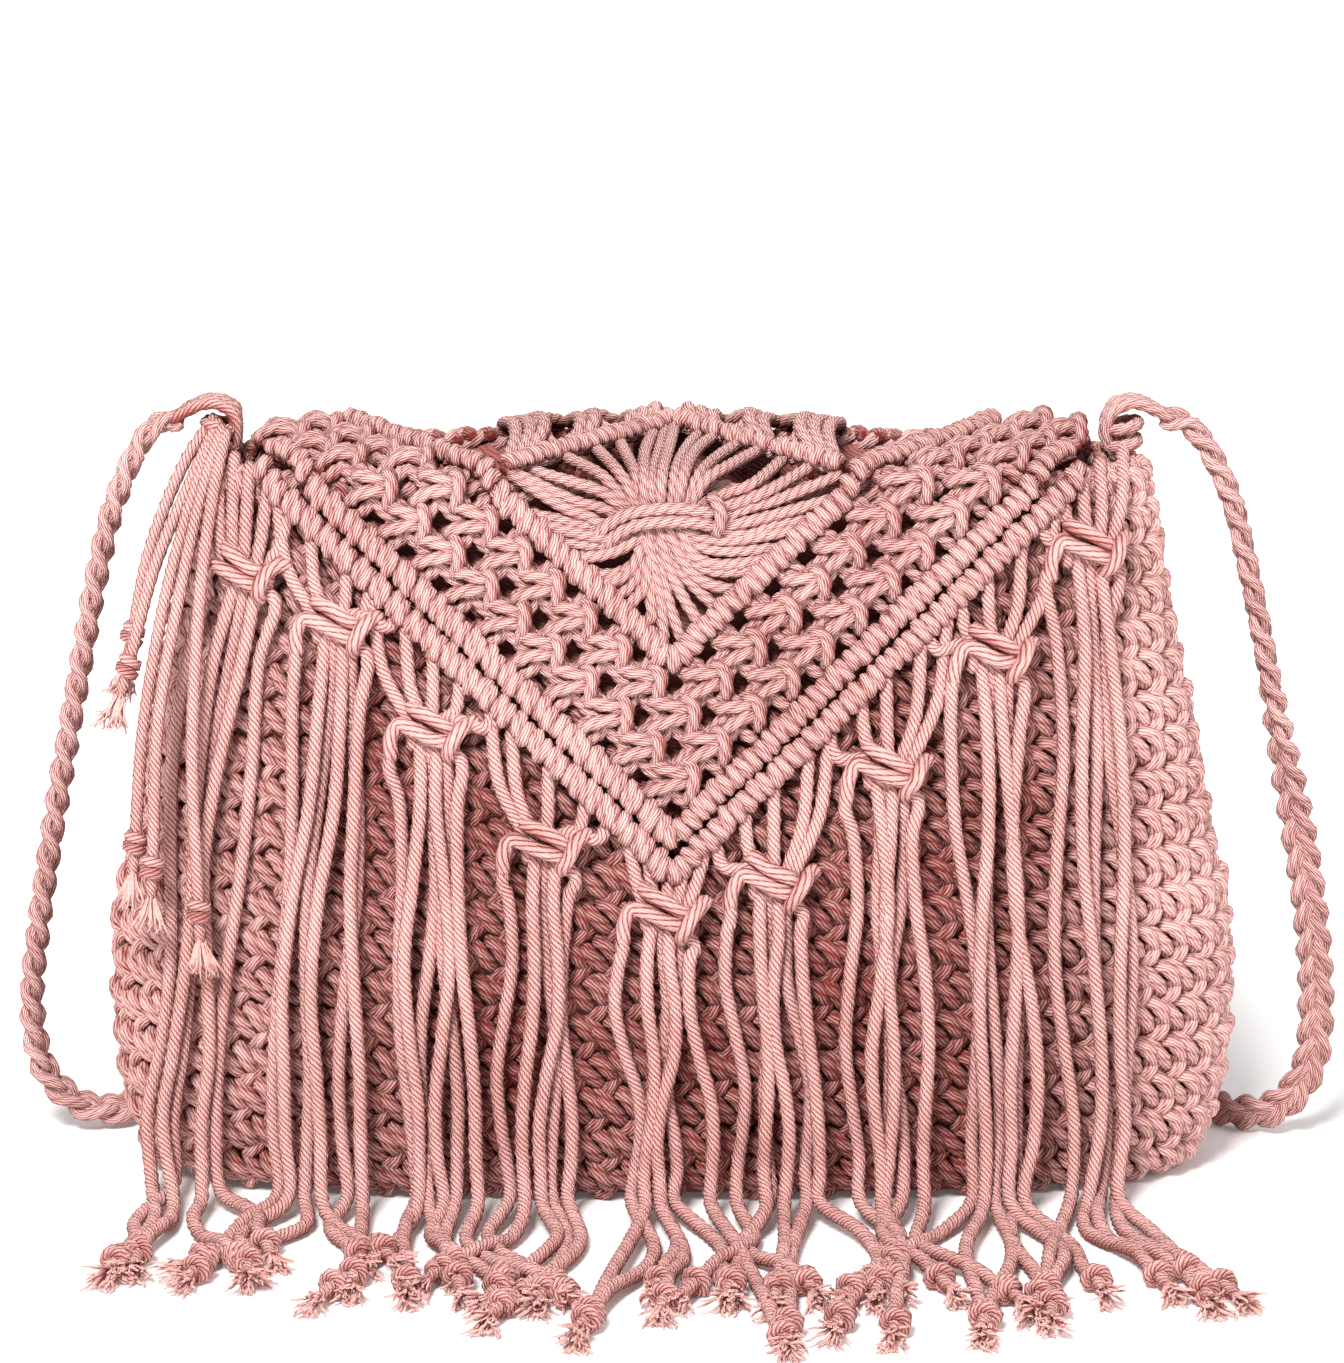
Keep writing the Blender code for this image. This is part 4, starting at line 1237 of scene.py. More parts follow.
@dataclass
class Diamond:
    """The cords that are gathered across the flap's diamond, and the band round them.

    The points of routes and band are millimetres across and up the flap from its own origin, and the band's
    points also have their lift. Two of its strands lie across, and the third binds them at the right.
    """

    cord_radius: float = 0.00168
    twist: Twist = Twist(0.0088, 0.84)
    up: tuple[float, float, float] = (0, -0.9, 0.4)
    origin: float = 0.170
    slot: str = "flap_cord"
    routes: tuple[tuple[tuple[float, float], ...], ...] = (
        ((-16.1, -3.3), (-21.3, -3.3), (-27.9, -1.8), (-37.6, 0.1)),
        ((-15.7, -6.2), (-20.5, -5.8), (-26.4, -4.4), (-35.4, -1.8)),
        ((-13.1, -6.9), (-19.0, -8.0), (-25.0, -7.3), (-32.8, -4.7)),
        ((-8.7, -6.9), (-14.6, -9.8), (-21.3, -10.9), (-28.0, -9.8)),
        ((-7.6, -7.6), (-8.7, -12.0), (-14.6, -14.9), (-24.3, -14.1)),
        ((-7.2, -9.1), (-10.2, -14.2), (-14.6, -16.7), (-21.3, -18.1)),
        ((-6.9, -12.0), (-8.7, -16.3), (-12.4, -19.6), (-17.2, -21.3)),
        ((-5.8, -14.2), (-6.5, -17.8), (-10.2, -22.1), (-13.2, -25.3)),
        ((-5.0, -20.7), (-5.0, -25.0), (-8.7, -28.2)),
        ((-16.1, -3.3), (-20.5, -1.0), (-26.4, 1.3), (-39.9, 8.0)),
        ((-12.4, -0.6), (-17.6, 1.2), (-24.2, 2.9), (-38.1, 8.1)),
        ((-11.7, 1.1), (-16.1, 3.9), (-20.6, 4.9), (-34.1, 9.9)),
        ((-10.6, 2.1), (-13.9, 4.7), (-17.7, 7.4), (-26.8, 21.9)),
        ((-9.1, 2.4), (-10.9, 5.1), (-14.0, 8.4), (-19.1, 29.0)),
        ((-8.0, 2.4), (-8.7, 6.5), (-10.3, 15.1), (-13.2, 34.4)),
        ((-6.5, 2.0), (-6.9, 6.4), (-6.6, 21.7), (-4.4, 43.0)),
        ((-4.3, 1.9), (-5.0, 5.8), (-3.6, 19.1), (-1.0, 49.2)),
        ((-2.8, 2.4), (-2.4, 6.6), (-0.6, 26.6), (1.3, 54.7)),
        ((0.1, 2.6), (0.9, 7.4), (3.9, 27.5), (9.4, 48.2)),
        ((1.6, 2.7), (3.1, 6.8), (6.9, 25.1), (13.9, 43.3)),
        ((3.8, 2.7), (6.8, 7.0), (12.2, 21.6), (20.0, 37.5)),
        ((4.6, 2.3), (8.3, 5.7), (14.3, 10.3), (24.0, 30.6)),
        ((9.0, 2.8), (14.2, 4.2), (20.1, 5.7), (29.2, 24.3)),
        ((12.7, 1.3), (17.9, 2.9), (23.8, 4.5), (34.5, 14.1)),
        ((13.1, -1.0), (19.3, 1.3), (26.0, 3.1), (41.5, 7.8)),
        ((13.1, -3.3), (19.4, -2.2), (26.8, -0.2), (39.9, 3.3)),
        ((12.7, -4.7), (18.6, -5.5), (24.5, -3.3), (34.6, -1.6)),
        ((3.1, -4.4), (6.8, -6.2), (14.2, -6.9), (24.6, -5.4), (32.1, -3.9)),
        ((3.1, -5.1), (6.8, -8.4), (14.2, -9.4), (27.3, -8.5)),
        ((2.4, -5.1), (5.3, -10.5), (12.0, -12.7), (24.9, -11.0)),
        ((1.6, -5.1), (3.8, -11.3), (9.8, -14.1), (21.4, -14.1)),
        ((-0.6, -5.1), (3.1, -12.7), (8.3, -17.0), (16.5, -18.9)),
        ((-2.1, -5.1), (0.2, -12.0), (5.3, -17.7), (11.7, -23.5)),
        ((-2.8, -5.1), (-1.0, -12.7), (2.4, -19.9), (7.3, -27.4)),
        ((-4.3, -5.1), (-2.1, -14.9), (-0.6, -22.1), (2.8, -31.5)),
        ((-5.8, -4.7), (-4.3, -13.4), (-2.8, -20.6), (-1.9, -32.4)),
    )
    band: tuple[tuple[tuple[float, float, float], ...], ...] = (
        (
            (-18.6, -6.6, 3.6), (-15.8, -3.6, 6.4), (-10.1, -0.4, 8.0),
            (-1.3, 0.9, 8.4), (5.3, 0.5, 8.0), (10.4, -0.6, 6.2),
        ),
        (
            (-16.6, -9.0, 3.6), (-13.0, -5.4, 6.2), (-7.2, -3.2, 7.8),
            (0.9, -2.6, 8.2), (6.0, -2.9, 7.8), (10.4, -3.6, 6.0),
        ),
        ((9.0, 3.4, 4.4), (10.6, 2.6, 7.0), (11.7, 0.0, 8.6), (11.6, -3.0, 7.8), (10.4, -5.6, 4.4)),
    )

    def place(self, across: float, up: float, lift: float) -> Vector:
        """A place of the diamond that stands off the flap's underside, all in millimetres."""
        return FLAP.place(across * MM, self.origin + up * MM, lift * MM)

    def build(self) -> None:
        """Make the gathered cords and their band."""
        draw = random.Random(31)
        work = CordWork("diamond_cords", Finish.FLAP, self.slot)
        for number, points in enumerate(self.routes):
            over = 0.5 if number % 2 else -0.3
            first_x, first_q = points[0]
            route = [self.place(first_x * 0.45 - 1.0, -1.8 + (first_q + 1.8) * 0.3, 3.4)]
            for step, (x, q) in enumerate(points[:-1]):
                route.append(self.place(x, q, 4.4 - 0.5 * step + over))
            route.append(self.place(*points[-1], 2.4))
            work.cord(route, self.cord_radius, self.up, self.twist, draw.random())
        work.build("motif_cords")
        band = CordWork("diamond_band_cords", Finish.FLAP, self.slot)
        for points in self.band:
            route = [self.place(*point) for point in points]
            band.cord(route, self.cord_radius * 1.08, self.up, self.twist, draw.random())
        band.build("motif_band")


@dataclass
class MouthLoops:
    """The loops of cord over the mouth, beside the arch.

    A bundle has its share of the way along the arch, its lean, its rise and its number of cords.
    """

    cord_radius: float = 0.0019
    twist: Twist = Twist(0.0110, 0.84)
    cord_pitch: float = 0.0052
    parts: tuple[float, ...] = (0.0, 0.15, 0.4, 0.7, 1.0)
    bundles: tuple[tuple[float, float, float, int], ...] = (
        (0.10, -0.003, 0.0034, 3),
        (0.30, 0.004, 0.0020, 3),
        (0.48, -0.003, 0.0036, 2),
        (0.65, 0.004, 0.0022, 3),
        (0.86, -0.002, 0.0032, 3),
    )
    slot: str = "flap_cord"

    def build(self) -> None:
        """Make the loops of both sides."""
        outer = FLAP.net_band + FLAP.diamond
        for name, side in (("flap_loops_left", -1), ("flap_loops_right", 1)):
            draw = random.Random(name)
            work = CordWork(name + "_cords", Finish.FLAP, self.slot)
            for share, lean, rise, cords in self.bundles:
                along = FLAP.net_band + 0.008 + (FLAP.diamond - 0.012) * share
                for number in range(cords):
                    small = along + (number - (cords - 1) / 2) * self.cord_pitch
                    x0, q0 = FLAP.lattice(small, outer + 0.0035)
                    x_end = x0 - 0.001 * (1 - share) + lean * 0.4
                    q_end = FLAP.back(min(abs(x_end), FLAP.half_width)) - 0.001
                    route = []
                    for part in self.parts:
                        bow = math.sin(math.pi * part)
                        x = x0 + (x_end - x0) * part - lean * bow * (1.0 + 0.3 * number)
                        q = q0 + (q_end - q0) * part
                        lift = 0.0022 + (rise + 0.0008 * number) * bow**0.7
                        route.append(FLAP.place(side * -x, q, lift + draw.gauss(0.0, 0.0001)))
                    work.cord(route, self.cord_radius, (0, -0.3, 1), self.twist, draw.random())
            work.build(name)


@dataclass(frozen=True)
class Group:
    """One group of the fringe: where its knot hangs and where its cords reach the floor."""

    name: str
    across: float
    drop: float
    half: float
    spread: float
    shift: float
    reach: float
    strands: int


@dataclass(frozen=True)
class EndKnot:
    """An overhand knot near the end of a cord."""

    twist: Twist = Twist(0.0080, 0.80)
    steps: int = 10
    turns: float = 1.55
    length: float = 0.0042
    cord_share: float = 0.94
    tail_share: float = 0.95
    # How strong the painted shade on the knot's turns is.
    shade_paint: float = 0.6

    def route(
        self, centre: Vector, axes: tuple[Vector, Vector, Vector], start: float, size: float, end_size: float
    ) -> list[Vector]:
        """The knot's turns.

        Args:
            centre: the knot's centre.
            axes: the directions along the cord, to its side and over it.
            start: the angle of the first point.
            size: the radius of the turns.
            end_size: the radius at the first and the last point.

        Returns:
            The points.
        """
        ahead, side, over = axes
        points = []
        for i in range(self.steps + 1):
            turn = start + 2 * math.pi * self.turns * i / self.steps
            along = (i / self.steps - 0.5) * self.length
            radius = size if 0 < i < self.steps else end_size
            radial = side * math.cos(turn) + over * math.sin(turn)
            points.append(centre + ahead * along + radial * radius)
        return points


END_KNOT = EndKnot()


@dataclass
class Fringe:
    """The fringe: knotted below the outer ridge, hanging, and ending on the floor in knots and tufts."""

    cord_radius: float = 0.00190
    fan: int = 5
    fan_twist: Twist = Twist(0.0100, 0.84)
    bar_twist: Twist = Twist(0.0260, 0.86)
    strand_twist: Twist = Twist(0.0100, 0.86)
    yarn_twist: Twist = Twist(0.02, 1.0)
    yarns: int = 34
    yarn_radius: float = 0.00038
    yarn_length: tuple[float, float] = (0.0048, 0.0088)
    yarn_flare: tuple[float, float] = (0.05, 0.75)
    yarn_curl: float = 0.0005
    knot_spread: float = 0.0052
    spread_share: float = 0.85
    stray: float = 0.0017
    layer_spread: float = 0.0003
    wave: tuple[float, float] = (0.0008, 0.0036)
    levels: tuple[float, ...] = (0.86, 0.70, 0.54, 0.38, 0.24, 0.12)
    floor_parts: tuple[float, ...] = (0.25, 0.5, 0.75, 1.0)
    raised_share: float = 0.25
    raised: float = 0.0016
    layers: tuple[float, float] = (0.0021, 0.0060)
    floor_height: float = 0.0024
    slot: str = "fringe_cord"
    groups: tuple[Group, ...] = (
        Group("fringe_1", -0.945, 0.0230, 0.0050, 0.0105, -0.0170, 0.058, 5),
        Group("fringe_2", -0.740, 0.0140, 0.0100, 0.0110, -0.0050, 0.060, 6),
        Group("fringe_3", -0.530, 0.0170, 0.0100, 0.0105, 0.0010, 0.066, 6),
        Group("fringe_4", -0.280, 0.0180, 0.0100, 0.0090, -0.0020, 0.078, 5),
        Group("fringe_5", -0.015, 0.0070, 0.0050, 0.0105, 0.0000, 0.088, 6),
        Group("fringe_6", 0.225, 0.0210, 0.0100, 0.0110, 0.0030, 0.084, 6),
        Group("fringe_7", 0.480, 0.0210, 0.0100, 0.0095, 0.0000, 0.082, 6),
        Group("fringe_8", 0.715, 0.0180, 0.0100, 0.0095, 0.0030, 0.080, 6),
        Group("fringe_9", 0.925, 0.0150, 0.0060, 0.0085, 0.0050, 0.074, 5),
    )

    def head(self, work: CordWork, group: Group, x: float, q: float, draw: random.Random) -> None:
        """The fan of cords from the ridge, and the square knot that gathers it.

        Args:
            work: the piece that takes them.
            group: the group of the fringe.
            x: the knot's place across.
            q: the knot's height.
            draw: the source of small irregularities.
        """
        for i in range(self.fan):
            share = i / (self.fan - 1) * 2 - 1 + draw.gauss(0.0, 0.06)
            top = x + share * (group.half + 0.0045)
            middle = (FLAP.lower_edge(top) + q) / 2
            route = [
                FLAP.place(top, FLAP.lower_edge(top) + 0.0025, 0.0022),
                FLAP.place(x + share * (group.half + 0.0020), middle, 0.0034),
                FLAP.place(x + share * 0.0056, q + 0.0030, 0.0046),
                FLAP.place(x + share * 0.0044, q - 0.0040, 0.0040),
            ]
            work.cord(route, self.cord_radius, (0, -1, 0), self.fan_twist, draw.random())
        point, across, up, out = FLAP.frame_at(x, q)
        bars = (
            [
                (-5.2, 6.6, 3.0), (-4.4, 5.8, 6.4), (-1.2, 4.2, 8.2),
                (2.6, 2.0, 8.0), (5.2, 0.2, 6.4), (6.2, -0.8, 3.6),
            ],
            [
                (-10.2, -7.0, 4.6), (-10.0, -1.4, 6.0), (-8.0, 2.0, 7.0), (-4.6, 1.2, 8.0),
                (0.2, -1.0, 8.4), (3.8, -2.2, 7.4), (5.4, -2.8, 4.0),
            ],
            [
                (10.8, 3.4, 2.6), (8.6, 2.4, 5.2), (7.2, 0.8, 8.2),
                (5.8, -1.8, 9.0), (4.4, -4.2, 8.0), (3.6, -6.0, 4.0),
            ],
        )
        for bar in bars:
            route = []
            for a, b, lift in bar:
                shift = across * (a + draw.gauss(0, 0.2)) + up * (b + draw.gauss(0, 0.2))
                route.append(point + (shift + out * lift) * MM)
            work.cord(route, self.cord_radius * 1.08, out, self.bar_twist, draw.random())

    def strand_route(
        self, group: Group, share: float, layer: int, x: float, q: float, draw: random.Random
    ) -> list[Vector]:
        """A strand's route from its knot down the front and over the floor.

        Args:
            group: the strand's group.
            share: its place in the group, from -1 at the left to 1.
            layer: 0 where it hangs next to the pouch, 1 where it hangs before other strands.
            x: the knot's place across.
            q: the knot's height.
            draw: the source of the strand's own course.

        Returns:
            The route's points; its last two give the end knot its direction.
        """
        top = x + share * self.knot_spread
        bottom = x + group.shift + share * group.spread * self.spread_share + draw.gauss(0.0, self.stray)
        depth = self.layers[layer] + draw.uniform(-self.layer_spread, self.layer_spread)
        wave, start = draw.uniform(*self.wave), draw.uniform(0.0, 2 * math.pi)
        route = [FLAP.place(top, q - 0.0010, 0.0040)]
        if share < -0.9:
            route = [FLAP.place(x - 0.0101, q - 0.0040, 0.0054), FLAP.place(x - 0.0104, q - 0.0090, 0.0046)]
            top = x - 0.0104
        elif share > 0.9:
            route = [FLAP.place(x + 0.0040, q - 0.0030, 0.0044), FLAP.place(x + 0.0072, q - 0.0075, 0.0048)]
        forward = route[0].y
        for level in self.levels:
            fall = 1 - level
            z = self.floor_height + (q - self.floor_height) * level
            opened = fall**0.75 if fall < 0.5 else 0.595 + (fall - 0.5) * 0.81
            across = top + (bottom - top) * opened
            across += wave * math.sin(start + fall * 6.5) * math.sin(math.pi * fall)
            place = FLAP.place(across, z, depth + 0.0040 * fall)
            forward = min(forward, place.y)
            route.append(Vector((place.x, forward, z)))
        landing = forward - 0.0075 - draw.uniform(0.0, 0.0060)
        route.append(Vector((bottom, landing + 0.003, self.floor_height + 0.0030)))
        reach = group.reach * draw.uniform(0.48, 1.0)
        drift = draw.uniform(-0.016, 0.016) + share * 0.006
        bend = draw.uniform(-0.007, 0.007)
        for part in self.floor_parts:
            across = bottom + drift * part + bend * math.sin(math.pi * part * 1.5)
            lifted = draw.random() < self.raised_share and part < 1.0
            height = self.floor_height + (self.raised if lifted else 0.0)
            route.append(Vector((across, landing - reach * part, height)))
        return route

    def end_knot(self, work: CordWork, tuft: CordWork, route: list[Vector], draw: random.Random) -> None:
        """The overhand knot near a strand's end, and the frayed tuft beyond it.

        Args:
            work: the piece that takes the knot.
            tuft: the piece that takes the yarns.
            route: the strand's route.
            draw: the source of the knot's turn and the yarns.
        """
        ahead = (route[-1] - route[-2]).normalized()
        side = ahead.cross(Vector((0, 0, 1))).normalized()
        over = side.cross(ahead).normalized()
        centre = route[-1] + Vector((0, 0, 0.0012))
        start = draw.uniform(0.0, 2 * math.pi)
        turns = END_KNOT.route(centre, (ahead, side, over), start, 0.0023, 0.0010)
        radius = self.cord_radius * END_KNOT.cord_share
        up = turns[0] - centre
        work.cord(turns, radius, up, END_KNOT.twist, draw.random(), shade_paint=END_KNOT.shade_paint)
        tip = centre + ahead * draw.uniform(0.0050, 0.0100)
        tip.z = self.floor_height + 0.0006
        tail = [centre, centre.lerp(tip, 0.5), tip]
        radius = self.cord_radius * END_KNOT.tail_share
        work.cord(tail, radius, over, END_KNOT.twist, draw.random(), (0.7, 0.9))
        self.tuft(tuft, tip, ahead, side, draw)

    def tuft(self, work: CordWork, tip: Vector, ahead: Vector, side: Vector, draw: random.Random) -> None:
        """The loose yarns of a frayed end.

        Args:
            work: the piece that takes them.
            tip: the cord's end.
            ahead: the direction along the cord.
            side: a direction to its side.
            draw: the source of the yarns' courses.
        """
        over = side.cross(ahead)
        for _ in range(self.yarns):
            turn = draw.uniform(0.0, 2 * math.pi)
            root = draw.uniform(0.2, 1.0) * self.cord_radius * 0.8
            radial = side * math.cos(turn) + over * math.sin(turn)
            length = draw.uniform(*self.yarn_length)
            flare = draw.uniform(*self.yarn_flare)
            curl = draw.gauss(0.0, self.yarn_curl)
            route = [
                tip - ahead * 0.0012 + radial * root * 0.6,
                tip + ahead * length * 0.35 + radial * (root + flare * length * 0.20),
                tip + ahead * length * 0.7 + radial * (root + flare * length * 0.50) + side * curl,
                tip + ahead * length + radial * (root + flare * length * 0.75) - side * curl,
            ]
            for point in route:
                point.z = max(point.z, 0.0006)
            work.cord(route, self.yarn_radius, over, self.yarn_twist, 0.0, (1.0, 0.6), 3)

    def build(self) -> None:
        """Make the nine groups and their tufts."""
        tufts = CordWork("fringe_tufts", Finish.FRAY, self.slot, 0.0022)
        for group in self.groups:
            draw = random.Random(group.name)
            work = CordWork(group.name + "_cords", Finish.FRINGE, self.slot)
            x = group.across * FLAP.half_width
            q = FLAP.lower_edge(x) - group.drop
            self.head(work, group, x, q, draw)
            for i in range(group.strands):
                share = i / (group.strands - 1) * 2 - 1
                route = self.strand_route(group, share, i % 2, x, q, draw)
                work.cord(route, self.cord_radius, (0, -1, 0), self.strand_twist, draw.random())
                self.end_knot(work, tufts, route, draw)
            work.build(group.name)
        tufts.build()


@dataclass
class Corners:
    """The knots that hold the strap at the mouth's corners, and the tassel at the left one."""

    cord_radius: float = 0.00172
    over_twist: Twist = Twist(0.0125, 0.84)
    ring_twist: Twist = Twist(0.0100, 0.82)
    tail_twist: Twist = Twist(0.0100, 0.86)
    over_cords: int = 6
    ring_steps: int = 12
    knot_size: float = 0.0019
    slot: str = "fringe_cord"
    tails: tuple[tuple[tuple[float, float, float], ...], ...] = (
        (
            (-0.1130, 0.002, 0.190), (-0.1210, -0.004, 0.178),
            (-0.1290, -0.008, 0.158), (-0.1335, -0.010, 0.137),
        ),
        (
            (-0.1120, 0.000, 0.189), (-0.1180, -0.010, 0.176),
            (-0.1270, -0.017, 0.155), (-0.1335, -0.021, 0.131),
        ),
        (
            (-0.1110, -0.002, 0.188), (-0.1150, -0.015, 0.174), (-0.1200, -0.026, 0.150),
            (-0.1250, -0.035, 0.120), (-0.1265, -0.041, 0.085),
        ),
        (
            (-0.1120, -0.001, 0.188), (-0.1170, -0.013, 0.174), (-0.1235, -0.023, 0.150),
            (-0.1290, -0.031, 0.118), (-0.1310, -0.037, 0.090),
        ),
        (
            (-0.1100, -0.003, 0.187), (-0.1125, -0.018, 0.172), (-0.1150, -0.030, 0.148),
            (-0.1165, -0.039, 0.112), (-0.1150, -0.045, 0.075),
        ),
    )

    def knot(self, work: CordWork, side: int, draw: random.Random) -> None:
        """The strap's cords where they turn over the mouth's corner and are knotted into it.

        Args:
            work: the piece that takes them.
            side: -1 at the left, 1 at the right.
            draw: the source of small irregularities.
        """
        low, high = (Vector(corner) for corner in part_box("corner_knot"))
        centre = (low + high) / 2
        size = (high - low) / 2
        centre.x *= side

        def at(a: float, b: float, c: float) -> Vector:
            """A place of the knot, as shares of its half sizes: outwards, back and up."""
            return centre + Vector((a * size.x * side, b * size.y, c * size.z))

        for i in range(self.over_cords):
            b = -0.62 + 1.24 * i / (self.over_cords - 1)
            tuck = draw.uniform(-0.12, 0.12)
            route = [
                at(1.9, b * 0.55, 0.02),
                at(1.1, b * 0.75, 0.45 + tuck * 0.4),
                at(0.2, b * 0.95, 0.78 - 0.20 * abs(b)),
                at(-0.6, b, 0.35 + tuck),
                at(-0.7 + tuck, b * 0.9, -0.50),
                at(-0.3, b * 0.8, -1.25),
            ]
            work.cord(route, self.cord_radius * 0.92, (0, 0, 1), self.over_twist, draw.random())
        for c in (-0.15, -0.72):
            route = []
            for i in range(self.ring_steps + 1):
                turn = 2 * math.pi * i / self.ring_steps
                cosine = math.cos(turn)
                route.append(at(-0.10 + 0.62 * cosine, 0.86 * math.sin(turn), c + 0.12 * cosine))
            work.cord(route, self.cord_radius, (0, 0, 1), self.ring_twist, draw.random())

    def build(self, fringe: Fringe) -> None:
        """Make both corners.

        Args:
            fringe: the fringe, whose frayed ends the tassel shares.
        """
        draw = random.Random(41)
        tufts = CordWork("tassel_tufts", Finish.FRAY, self.slot, 0.0022)
        left = CordWork("corner_tassel_cords", Finish.FRINGE, self.slot)
        self.knot(left, -1, draw)
        for tail in self.tails:
            route = [Vector(point) for point in tail]
            left.cord(route, self.cord_radius, (0, -1, 0), self.tail_twist, draw.random())
            ahead = (route[-1] - route[-2]).normalized()
            side = ahead.cross(Vector((0, -1, 0))).normalized()
            over = side.cross(ahead)
            end = route[-1]
            turns = END_KNOT.route(end, (ahead, side, over), 0.0, self.knot_size, self.knot_size)
            radius = self.cord_radius * END_KNOT.cord_share
            left.cord(turns, radius, side, END_KNOT.twist, shade_paint=END_KNOT.shade_paint)
            tip = end + ahead * 0.008
            radius = self.cord_radius * END_KNOT.tail_share
            left.cord([end, end.lerp(tip, 0.5), tip], radius, over, END_KNOT.twist)
            fringe.tuft(tufts, tip, ahead, side, draw)
        left.build("corner_tassel")
        tufts.build()
        right = CordWork("corner_knot_cords", Finish.STRAP, "strap_cord")
        self.knot(right, 1, draw)
        right.build("corner_knot")


@dataclass
class Strap:
    """The strap: a braid of three strands, each of two cords."""

    width: float = 0.0096
    braid_turn: float = 0.0225
    sway: float = 0.0026
    rise: float = 0.0011
    turn_top: float = 0.125
    turn_reach: float = 0.050
    turned: float = 1.35
    cord_radius: float = 0.00155
    twist: Twist = Twist(0.0125, 0.84)
    twin_gap: float = 0.00085
    twin_lean: float = 0.0006
    slot: str = "strap_cord"
    route: tuple[tuple[float, float, float], ...] = (
        (-0.1217, 0.0040, 0.1890),
        (-0.1300, 0.0045, 0.1855),
        (-0.1385, 0.0055, 0.1690),
        (-0.1440, 0.0070, 0.1490),
        (-0.1485, 0.0085, 0.1270),
        (-0.1535, 0.0100, 0.1020),
        (-0.1580, 0.0120, 0.0780),
        (-0.1620, 0.0150, 0.0550),
        (-0.1645, 0.0190, 0.0350),
        (-0.1625, 0.0220, 0.0180),
        (-0.1545, 0.0230, 0.0080),
        (-0.1450, 0.0260, 0.0050),
        (-0.1370, 0.0360, 0.0050),
        (-0.1320, 0.0520, 0.0050),
        (-0.1340, 0.0860, 0.0050),
        (-0.1390, 0.1400, 0.0050),
        (-0.1340, 0.1960, 0.0050),
        (-0.1110, 0.2340, 0.0050),
        (-0.0710, 0.2570, 0.0050),
        (-0.0240, 0.2640, 0.0050),
        (0.0250, 0.2610, 0.0050),
        (0.0710, 0.2560, 0.0050),
        (0.1100, 0.2320, 0.0050),
        (0.1340, 0.1940, 0.0050),
        (0.1390, 0.1380, 0.0050),
        (0.1340, 0.0840, 0.0050),
        (0.1320, 0.0500, 0.0050),
        (0.1380, 0.0340, 0.0050),
        (0.1470, 0.0230, 0.0050),
        (0.1570, 0.0180, 0.0085),
        (0.1640, 0.0160, 0.0200),
        (0.1650, 0.0150, 0.0380),
        (0.1630, 0.0130, 0.0590),
        (0.1590, 0.0110, 0.0820),
        (0.1540, 0.0090, 0.1050),
        (0.1490, 0.0070, 0.1290),
        (0.1440, 0.0050, 0.1510),
        (0.1385, 0.0045, 0.1710),
        (0.1298, 0.0040, 0.1860),
        (0.1217, 0.0040, 0.1895),
    )

    def build(self) -> None:
        line = smooth_route(list(self.route), 0.0015)
        ahead = unit_rows(np.gradient(line, axis=0))
        across = np.empty_like(line)
        last = np.array((0.0, -1.0, 0.0))
        for i, direction in enumerate(ahead):
            last = last - direction * last.dot(direction)
            last = last / np.linalg.norm(last)
            across[i] = last
        over = np.cross(ahead, across)
        hangs = np.where(line[:, 0] > 0, 1.0, 0.0) * np.clip((0.070 - line[:, 1]) / 0.035, 0.0, 1.0)
        quarter = hangs * np.clip((self.turn_top - line[:, 2]) / self.turn_reach, 0.0, 1.0) * self.turned
        cosine, sine = np.cos(quarter)[:, None], np.sin(quarter)[:, None]
        across, over = across * cosine + over * sine, over * cosine - across * sine
        gone = walked(line)
        work = CordWork("strap_braid", Finish.STRAP, self.slot, 0.00135)
        for strand in range(3):
            turn = 2 * math.pi * (gone / self.braid_turn + strand / 3)
            side = np.sin(turn) * self.sway
            lift = np.sin(2 * turn) * self.rise
            lean = np.cos(turn)
            centre = line + across * side[:, None] + over * lift[:, None]
            for twin in (-1, 1):
                offset = across * (twin * self.twin_gap) + over * (twin * self.twin_lean * lean)[:, None]
                route = list(centre + offset)
                # Half-strength painted shade on the braid's cords.
                work.cord(route, self.cord_radius, (0, -1, 0), self.twist, strand * 0.3, shade_paint=0.5)
        piece = work.build("strap")
        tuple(self.route[0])


def facing(place: tuple, aim: tuple) -> Euler:
    """The turn that points a lamp or a camera from its place to its aim."""
    return (Vector(aim) - Vector(place)).to_track_quat("-Z", "Y").to_euler()


